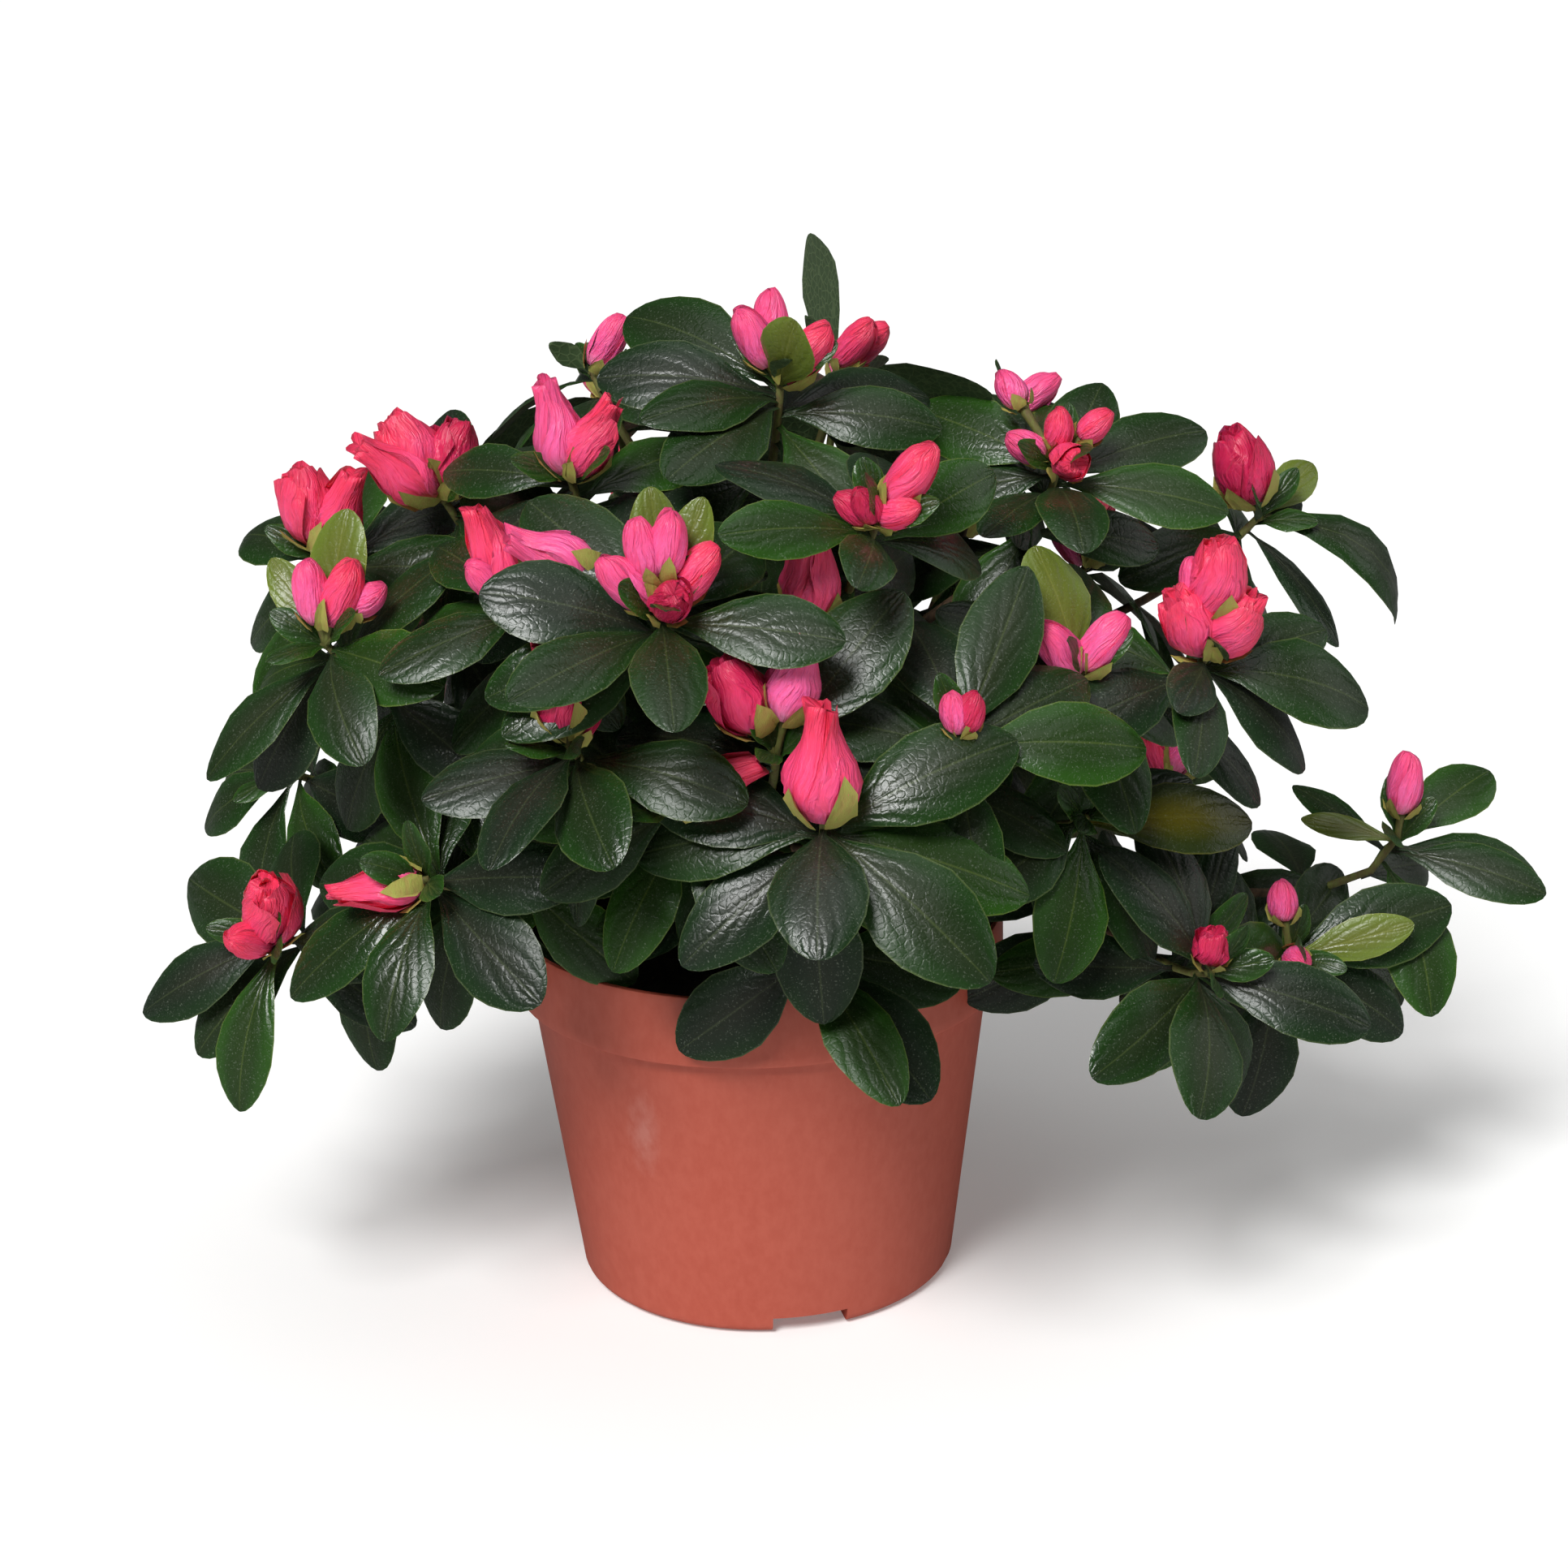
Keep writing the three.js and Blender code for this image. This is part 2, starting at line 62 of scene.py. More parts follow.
def waves(rows, x, y, z):
    # a sum of sines; each row has the factors of x, y and z and the size of its sine
    return sum(np.sin(a * x + b * y + c * z) * size for a, b, c, size in rows)


def feed(tree, node, inputs):
    # gives each input of a node its value, or the socket that feeds it
    for key, value in inputs.items():
        if isinstance(value, bpy.types.NodeSocket):
            tree.links.new(value, node.inputs[key])
        else:
            node.inputs[key].default_value = value


def addNode(tree, kind, settings=None, inputs=None):
    node = tree.nodes.new("ShaderNode" + kind)
    for key, value in (settings or {}).items():
        setattr(node, key, value)
    feed(tree, node, inputs or {})
    return node


def maths(tree, operation, *inputs):
    return addNode(tree, "Math", {"operation": operation}, dict(enumerate(inputs))).outputs[0]


def ramp(tree, source, low, high, toLow=0.0, toHigh=1.0, smooth=False):
    # the source at low gives toLow, and at high toHigh
    ends = {0: source, "From Min": low, "From Max": high, "To Min": toLow, "To Max": toHigh}
    kind = "SMOOTHSTEP" if smooth else "LINEAR"
    return addNode(tree, "MapRange", {"interpolation_type": kind}, ends).outputs[0]


def noise(tree, place, size, detail, roughness=0.5):
    # soft noise with patches of a size in millimetres
    inputs = {"Vector": place, "Scale": 1 / (size * mm), "Detail": detail, "Roughness": roughness}
    return addNode(tree, "TexNoise", inputs=inputs)


def cellNet(tree, place, size):
    # the distance to the nearest edge of a net of cells of a size in millimetres
    inputs = {"Vector": place, "Scale": 1 / (size * mm)}
    return addNode(tree, "TexVoronoi", {"feature": "DISTANCE_TO_EDGE"}, inputs).outputs[0]


def stretch(tree, place, scale):
    return addNode(tree, "Mapping", inputs={"Scale": scale, 0: place}).outputs[0]


def shake(tree, place, wander, reach):
    # the place moved by a noise's colour times a reach
    moved = {0: wander.outputs["Color"], 1: (reach,) * 3, 2: place}
    return addNode(tree, "VectorMath", {"operation": "MULTIPLY_ADD"}, moved).outputs[0]


def bump(tree, height, depth, strength):
    # a relief of a depth in millimetres
    inputs = {"Strength": strength, "Distance": depth * mm, "Height": height}
    return addNode(tree, "Bump", inputs=inputs).outputs[0]


def colourMix(tree, share, first, second):
    # goes from the first colour to the second; either may be a hex value or a socket
    first, second = (linear(colour) if isinstance(colour, str) else colour for colour in (first, second))
    return addNode(tree, "Mix", {"data_type": "RGBA"}, {0: share, 6: first, 7: second}).outputs[2]


def newMaterial(name):
    # a material's node tree and shader, and the place on the object in metres
    material = bpy.data.materials.new(name)
    material.use_nodes = True
    tree = material.node_tree
    return material, tree, tree.nodes["Principled BSDF"], addNode(tree, "TexCoord").outputs["Object"]


def sheetPlace(tree):
    # the place on a sheet, and its two parts: the shares across and along
    place = addNode(tree, "UVMap", {"uv_map": "sheetMap"}).outputs[0]
    parts = addNode(tree, "SeparateXYZ", inputs={0: place})
    return place, parts.outputs[0], parts.outputs[1]


cameraValues = {
    "place": (0, -805.8, 410.1), "yaw": 0.56, "pitch": 18.9, "roll": -1.63,
    "lens": 74.53, "sensor": 36, "farthest": 100,  # millimetres, but metres for the last
}
lightValues = {
    "sky": "#FFFFFF", "skyStrength": 0.05,
    "lamps": {  # bearing, rise, strength in watts per square metre, angular size
        "keyLight": (-24, 47, 3.4, 24),
        "topLight": (30, 80, 0.6, 60),
        "sideLight": (105, 24, 0.25, 40),
    },
    # the floor's glow is painted light that keeps its shadow light; the near black after the floor is painted
    # shade that glossy leaves mirror in place of the floor
    "floor": "#F0F0EF", "mirroredFloorShade": "#101010", "floorGlow": 0.17, "floorMirrored": 0.2,
    "floorSize": 30000, "floorDrop": 0.5, "floorRoughness": 0.9,
}


def newObject(name, data):
    thing = bpy.data.objects.new(name, data)
    bpy.context.scene.collection.objects.link(thing)
    return thing


def axesToTurn(right, above, ahead):
    # the turn of a camera or a lamp, which look along their own -Z
    return Matrix([[right[k], above[k], -ahead[k]] for k in range(3)]).to_4x4()


def makeCamera(v):
    yaw, pitch, roll = (math.radians(v[key]) for key in ("yaw", "pitch", "roll"))
    ahead = np.array([math.sin(yaw) * math.cos(pitch), math.cos(yaw) * math.cos(pitch), -math.sin(pitch)])
    right = unit(np.cross(ahead, [0, 0, 1]))
    above = np.cross(right, ahead)
    across = math.cos(roll) * right + math.sin(roll) * above
    upwards = math.cos(roll) * above - math.sin(roll) * right
    lens = bpy.data.cameras.new("camera")
    lens.lens, lens.sensor_width, lens.clip_end = v["lens"], v["sensor"], v["farthest"]
    camera = newObject("camera", lens)
    place = Matrix.Translation([x * mm for x in v["place"]])
    camera.matrix_world = place @ axesToTurn(across, upwards, ahead)
    bpy.context.scene.camera = camera


def makeLights(v):
    # the studio walls look as pale as the floor, and light the plant far less than the lamps do
    world = bpy.data.worlds.new("studio")
    world.use_nodes = True
    tree = world.node_tree
    seen = addNode(tree, "LightPath").outputs["Is Camera Ray"]
    strength = ramp(tree, seen, 0, 1, v["skyStrength"])
    feed(tree, tree.nodes["Background"], {"Color": linear(v["sky"]), "Strength": strength})
    bpy.context.scene.world = world
    for name, (bearing, rise, power, size) in v["lamps"].items():
        lamp = bpy.data.lights.new(name, "SUN")
        lamp.energy, lamp.angle = power, math.radians(size)
        aim = unit(-direction(bearing, rise))
        side = unit(np.cross(aim, [0, 0, 1]))
        newObject(name, lamp).matrix_world = axesToTurn(side, np.cross(side, aim), aim)


makeCamera(cameraValues)
makeLights(lightValues)
bpy.context.scene.view_settings.view_transform = "Standard"
print("camera and light are set")


weld = 0.005  # points nearer than this are one


def makePiece(name, points, faces, materials, slots=None, uv=None, sharp=None, crispAngle=None):
    # points in millimetres, faces as rows of 3 or 4 corners, one slot number a face, one uv a
    # point, and sharp marks the points whose joining edges stay crisp; with a crispAngle, double
    # points are welded and every edge that turns by more stays crisp
    mesh = bpy.data.meshes.new(name)
    mesh.from_pydata((np.asarray(points) * mm).tolist(), [], faces)
    for material in materials:
        mesh.materials.append(material)
    mesh.polygons.foreach_set("use_smooth", np.ones(len(mesh.polygons), bool))
    if slots is not None:
        mesh.polygons.foreach_set("material_index", np.asarray(slots, np.int32))
    corners = np.empty(len(mesh.loops), np.int32)
    mesh.loops.foreach_get("vertex_index", corners)
    if uv is not None:
        mesh.uv_layers.new(name="sheetMap").data.foreach_set("uv", np.asarray(uv)[corners].ravel())
    if sharp is not None:
        ends = np.empty(len(mesh.edges) * 2, np.int32)
        mesh.edges.foreach_get("vertices", ends)
        crisp = np.asarray(sharp)[ends.reshape(-1, 2)].all(axis=1)
        mesh.attributes.new("sharp_edge", "BOOLEAN", "EDGE").data.foreach_set("value", crisp)
    if crispAngle is not None:
        work = bmesh.new()
        work.from_mesh(mesh)
        bmesh.ops.remove_doubles(work, verts=work.verts, dist=weld * mm)
        bmesh.ops.dissolve_degenerate(work, edges=work.edges, dist=weld * mm)
        work.to_mesh(mesh)
        work.free()
        mesh.set_sharp_from_angle(angle=math.radians(crispAngle))
    mesh.update()
    piece = newObject(name, mesh)
    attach(piece, "root")
    return piece


def gridFaces(rows, columns, wrap=False):
    # quads between neighbouring rows and columns, the last column joined to the first on a wrap
    r, c = np.meshgrid(np.arange(rows - 1), np.arange(columns if wrap else columns - 1), indexing="ij")
    d = (c + 1) % columns
    low, high = r * columns, (r + 1) * columns
    return np.stack([low + c, low + d, high + d, high + c], axis=-1).reshape(-1, 4)


def ringFaces(rings, sides, count=1, turned=False):
    # faces of closed bodies made of rings: quads between the rings, then a fan to the middle
    # point of each end, whose two points follow the rings; turned, they face the other way
    quads = gridFaces(rings, sides, wrap=True)
    k = np.arange(sides)
    after = (k + 1) % sides
    last = (rings - 1) * sides
    middle = np.full(sides, rings * sides)
    foot = np.stack([middle, after, k], axis=-1)
    tip = np.stack([middle + 1, last + k, last + after], axis=-1)
    fans = np.concatenate([foot, tip])
    if turned:
        quads, fans = quads[:, ::-1], fans[:, [0, 2, 1]]
    each = rings * sides + 2
    starts = range(0, count * each, each)
    return [face for start in starts for face in (quads + start).tolist() + (fans + start).tolist()]


def thickSheets(front, thickness, uv, skip=1):
    # closed thin shells from sheets (n, rows, columns, 3): a back lies the thickness behind the
    # front along the normal, which is the cross product of the steps across and along, and both
    # share the rim. The back may keep only every other column: its end faces then take in the
    # rim points between. Returns points, faces, which faces are backs, uvs and rim marks.
    n, rows, columns, _ = front.shape
    across, along = np.gradient(front, axis=2), np.gradient(front, axis=1)
    kept = np.arange(skip, columns - 1, skip)
    inner = (front - unit(np.cross(across, along)) * thickness)[:, 1:-1, kept]
    number = np.arange(rows * columns).reshape(rows, columns)
    back = number.copy()
    back[1:-1, kept] = rows * columns + np.arange((rows - 2) * len(kept)).reshape(rows - 2, -1)
    quads = gridFaces(rows, columns)
    one = quads.tolist()
    for r in range(rows - 1):
        for c in range(0, columns - 1, skip):
            low = back[r, c:c + skip + 1:1 if r == 0 else skip]
            high = back[r + 1, c:c + skip + 1:1 if r == rows - 2 else skip]
            one.append([*low.tolist(), *high[::-1].tolist()][::-1])
    total = rows * columns + (rows - 2) * len(kept)
    points = np.concatenate([front.reshape(n, -1, 3), inner.reshape(n, -1, 3)], axis=1).reshape(-1, 3)
    faces = [[corner + start for corner in face] for start in range(0, n * total, total) for face in one]
    isBack = np.tile(np.arange(len(one)) >= len(quads), n)
    rim = np.ones((rows, columns), bool)
    rim[1:-1, 1:-1] = False
    rim = np.concatenate([rim.ravel(), np.zeros((rows - 2) * len(kept), bool)])
    allUv = np.concatenate([uv.reshape(-1, 2), uv[1:-1, kept].reshape(-1, 2)])
    return points, faces, isBack, np.tile(allUv, (n, 1)), np.tile(rim, n)


def tubes(centres, radii):
    # closed tubes (n, rings, 3): each ring is a circle square to the path, its radius given for
    # every ring and side, and a point in the middle of each end closes it
    n, rings, sides = radii.shape
    tangent = unit(np.gradient(centres, axis=1))
    overall = unit(centres[:, -1] - centres[:, 0])
    helper = np.where(np.abs(overall[:, 2:]) > 0.8, [[1.0, 0, 0]], [[0, 0, 1.0]])
    first = unit(np.cross(tangent, helper[:, None]))
    second = np.cross(tangent, first)
    turn = np.linspace(0, 2 * np.pi, sides, endpoint=False)
    circle = np.cos(turn)[:, None] * first[:, :, None] - np.sin(turn)[:, None] * second[:, :, None]
    wall = centres[:, :, None] + circle * radii[..., None]
    points = np.concatenate([wall.reshape(n, -1, 3), centres[:, :1], centres[:, -1:]], axis=1)
    return points.reshape(-1, 3), ringFaces(rings, sides, n, turned=True)


def listed(parts, key, axes=0):
    # the value of every part in one array, with more axes after the first
    values = np.array([part[key] for part in parts])
    return values.reshape(len(parts), *[1] * axes, *values.shape[1:])


def arcPoints(a, control, b, fractions):
    # points of a quadratic curve (1-t)^2 a + 2t(1-t) c + t^2 b at fractions of its length
    t = np.linspace(0, 1, 201)[:, None]
    curve = (1 - t) ** 2 * a + 2 * t * (1 - t) * control + t ** 2 * b
    run = np.concatenate([[0], np.cumsum(np.linalg.norm(np.diff(curve, axis=0), axis=1))])
    wanted = np.asarray(fractions) * run[-1]
    return np.stack([np.interp(wanted, run, curve[:, k]) for k in range(3)], axis=-1), run[-1]


leafPaint = {
    "veinPairs": 3.2, "slant": 0.7,  # side veins for each half, and how far they run forward
    "wander": 12, "grain": 0.7, "net": 1.8, "patches": 30, "hairs": 0.45, "underNet": 2.2,
    "grainDepth": 0.25, "quiltDepth": 0.8, "relief": 0.26, "reliefStrength": 0.5,
    "swing": 1.1, "netShake": 0.4, "hairColour": "#9AA392", "bend": 1.46,  # of light in the wax
    # a band is where it starts and ends on its measure, then what it gives at both
    "veinBand": (0, 0.36), "besideRib": (0.01, 0.12), "netBand": (0, 0.2, 0, 0.28),
    "sideBand": (0.35, 0.95, 0, 0.85), "middleBand": (0.8, 0, 0, 0.9), "middleFade": (0, 1, 1.5, 0.5),
    "rimBand": (0.95, 0.99, 0, 0.4), "ribBand": (0.04, 0, 0, 0.22), "hairBand": (0.62, 0.74, 0, 0.2),
    "glossBand": (0.3, 0.7, 0.22, 0.44),
    "underBand": (0, 0.12, 0.7, 0), "underRelief": 0.2, "underStrength": 0.4, "underGloss": 0.6,
}
leafColours = {  # blade, side, middle, and rim and rib
    "darkLeaf": ("#182D11", "#1A3810", "#272B19", "#66753F"),
    "deepLeaf": ("#182719", "#182F14", "#2B2820", "#5F6C45"),
    "greenLeaf": ("#1E3811", "#264B12", "#263414", "#74843C"),
    "youngLeaf": ("#5C6A26", "#64752A", "#646428", "#98994F"),
    "yellowLeaf": ("#38400F", "#26350D", "#7A6A14", "#7C7A34"),
}


def leafTop(name, blade, side, middle, rim):
    # upper side of an evergreen leaf: a waxy skin whose highlights break up on a fine net of
    # veins, faintly quilted between sunken side veins, with a browner stripe along the middle,
    # scattered pale hairs and a pale rim
    p = leafPaint
    material, tree, shader, body = newMaterial(name)
    _, sideways, forward = sheetPlace(tree)
    across = maths(tree, "ABSOLUTE", maths(tree, "MULTIPLY_ADD", sideways, 2, -1))
    level = maths(tree, "ADD", forward, maths(tree, "MULTIPLY", across, -p["slant"]))
    count = maths(tree, "MULTIPLY", level, p["veinPairs"])
    wander = noise(tree, body, p["wander"], 2).outputs[0]
    swung = maths(tree, "MULTIPLY_ADD", wander, p["swing"], count)
    between = ramp(tree, maths(tree, "PINGPONG", swung, 0.5), *p["veinBand"], smooth=True)
    quilt = maths(tree, "MULTIPLY", between, ramp(tree, across, *p["besideRib"], smooth=True))
    grain = noise(tree, body, p["grain"], 2)
    net = cellNet(tree, shake(tree, body, grain, p["netShake"] * mm), p["net"])
    cells = ramp(tree, net, *p["netBand"], smooth=True)
    fine = maths(tree, "MULTIPLY_ADD", grain.outputs[0], p["grainDepth"], cells)
    relief = maths(tree, "MULTIPLY_ADD", quilt, p["quiltDepth"], fine)
    patch = noise(tree, body, p["patches"], 3).outputs[0]
    nearRib = ramp(tree, across, *p["middleBand"], smooth=True)
    strong = maths(tree, "MULTIPLY", nearRib, ramp(tree, forward, *p["middleFade"]))
    hair = noise(tree, body, p["hairs"], 1).outputs[0]
    for share, colour in (
            (ramp(tree, across, *p["sideBand"], smooth=True), side),
            (maths(tree, "MULTIPLY", strong, patch), middle),
            (ramp(tree, across, *p["rimBand"]), rim),
            (ramp(tree, across, *p["ribBand"]), rim),
            (ramp(tree, hair, *p["hairBand"]), p["hairColour"])):
        blade = colourMix(tree, share, blade, colour)
    feed(tree, shader, {
        "Base Color": blade, "Roughness": ramp(tree, patch, *p["glossBand"]),
        "Normal": bump(tree, relief, p["relief"], p["reliefStrength"]), "IOR": p["bend"]})
    return material


def leafUnder(name, blade, vein):
    # underside of a leaf: paler and without the wax, with a raised net of veins
    p = leafPaint
    material, tree, shader, body = newMaterial(name)
    line = ramp(tree, cellNet(tree, body, p["underNet"]), *p["underBand"])
    feed(tree, shader, {
        "Base Color": colourMix(tree, line, blade, vein), "Roughness": p["underGloss"],
        "Normal": bump(tree, line, p["underRelief"], p["underStrength"])})
    return material


petalPaint = {
    "wander": 9, "sway": 0.35, "folds": (7, 2.4, 1), "ribs": (34, 3, 1), "ribDepth": 0.2,
    "relief": 1.5, "reliefStrength": 0.9, "gloss": 0.42,
    "glow": 0.25, "glowTint": (1.0, 0.35, 0.3), "glowDepth": 1.5,
    # underBand paints shade along the side of a petal that lies under its neighbour, and the fold band paints
    # shade in the hollows of the folds
    "tipBand": (0.35, 1, 0, 0.75), "footBand": (0.3, 0, 0, 0.75), "underBand": (0.82, 1, 0, 0.7),
    "foldShadeBand": (0.55, 0.35, 0, 0.45),
}


def petal(name, body, edge, base):
    # a petal: soft satin tissue that lets some light through, crumpled in folds that run from
    # foot to tip, with painted shade in the hollows of the folds, deeper in colour towards the
    # tip, with painted shade along the side that lies under its neighbour, and paler at the foot
    p = petalPaint
    material, tree, shader, solid = newMaterial(name)
    place, across, along = sheetPlace(tree)
    swayed = shake(tree, place, noise(tree, solid, p["wander"], 1), p["sway"])
    whole = 1000  # at this size a noise has only the scale of its stretch
    folds = noise(tree, stretch(tree, swayed, p["folds"]), whole, 3, 0.55).outputs[0]
    ribs = noise(tree, stretch(tree, swayed, p["ribs"]), whole, 2).outputs[0]
    colour = body
    # the last two mixes are painted shade: under the neighbouring petal and in the hollows of the folds
    for share, other in (
            (ramp(tree, along, *p["tipBand"], smooth=True), edge),
            (ramp(tree, along, *p["footBand"], smooth=True), base),
            (ramp(tree, across, *p["underBand"]), edge),
            (ramp(tree, folds, *p["foldShadeBand"]), edge)):
        colour = colourMix(tree, share, colour, other)
    height = maths(tree, "MULTIPLY_ADD", ribs, p["ribDepth"], folds)
    feed(tree, shader, {
        "Base Color": colour, "Roughness": p["gloss"],
        "Normal": bump(tree, height, p["relief"], p["reliefStrength"]),
        "Subsurface Weight": p["glow"], "Subsurface Radius": p["glowTint"],
        "Subsurface Scale": p["glowDepth"] * mm})
    return material


stemPaint = {
    "stretch": (1, 1, 0.3), "scarBand": (0.35, 0.65), "relief": 0.4, "reliefStrength": 0.7, "gloss": 0.75,
}


def stem(name, young, old, grain):
    # bark or green rind: fine lengthwise cracks and lighter scars on a darker ground
    p = stemPaint
    material, tree, shader, body = newMaterial(name)
    cracks = noise(tree, stretch(tree, body, p["stretch"]), grain, 5, 0.7).outputs[0]
    feed(tree, shader, {
        "Base Color": colourMix(tree, ramp(tree, cracks, *p["scarBand"]), old, young),
        "Normal": bump(tree, cracks, p["relief"], p["reliefStrength"]), "Roughness": p["gloss"]})
    return material


leafTops = {name: leafTop(name, *colours) for name, colours in leafColours.items()}
leafUnders = {
    "paleUnderside": leafUnder("paleUnderside", "#3C5230", "#5C7048"),
    "youngUnderside": leafUnder("youngUnderside", "#6E7A32", "#9AA050"),
}
leafSlots = list(leafTops) + list(leafUnders)
petals = [
    petal("coralPetal", "#F94C80", "#EE3454", "#F870A4"),
    petal("pinkPetal", "#FB64A4", "#F4467A", "#F89CC0"),
    petal("deepPetal", "#E02E64", "#C41C46", "#E85C92"),
]
budScale = stem("budScale", "#9DA34A", "#A5904C", 1.2)
greenStem = stem("greenStem", "#66702F", "#5A4A2A", 1.5)
woodyStem = stem("woodyStem", "#6B5238", "#3A2A1C", 2.0)
print("plant materials are ready")


heart = np.array([0, 0, 108.0])
upwards = np.array([0, 0, 1.0])
gap = 0.3
pathSteps = 40
facing = {"least": 14, "share": 0.55, "turn": 0.5, "widest": 105, "faceLean": 46}
boughValues = {
    "rootRadius": 2, "tipRadius": 1.5, "spread": 0.5, "lift": 8, "stem": 7, "rings": 16, "sides": 12,
    "arch": (0.35, 0.2),  # outward and up, as shares of its reach
}
twigValues = {
    "rootRadius": 1.5, "tipRadius": 1.0, "arch": 0.36, "relief": 0.08, "greenFrom": 0.55,
    "rings": 9, "sides": 8,
}


def whorl(tip, leaves, *buds, **more):
    return {"tip": tip, "leaves": leaves, "buds": buds, **more}


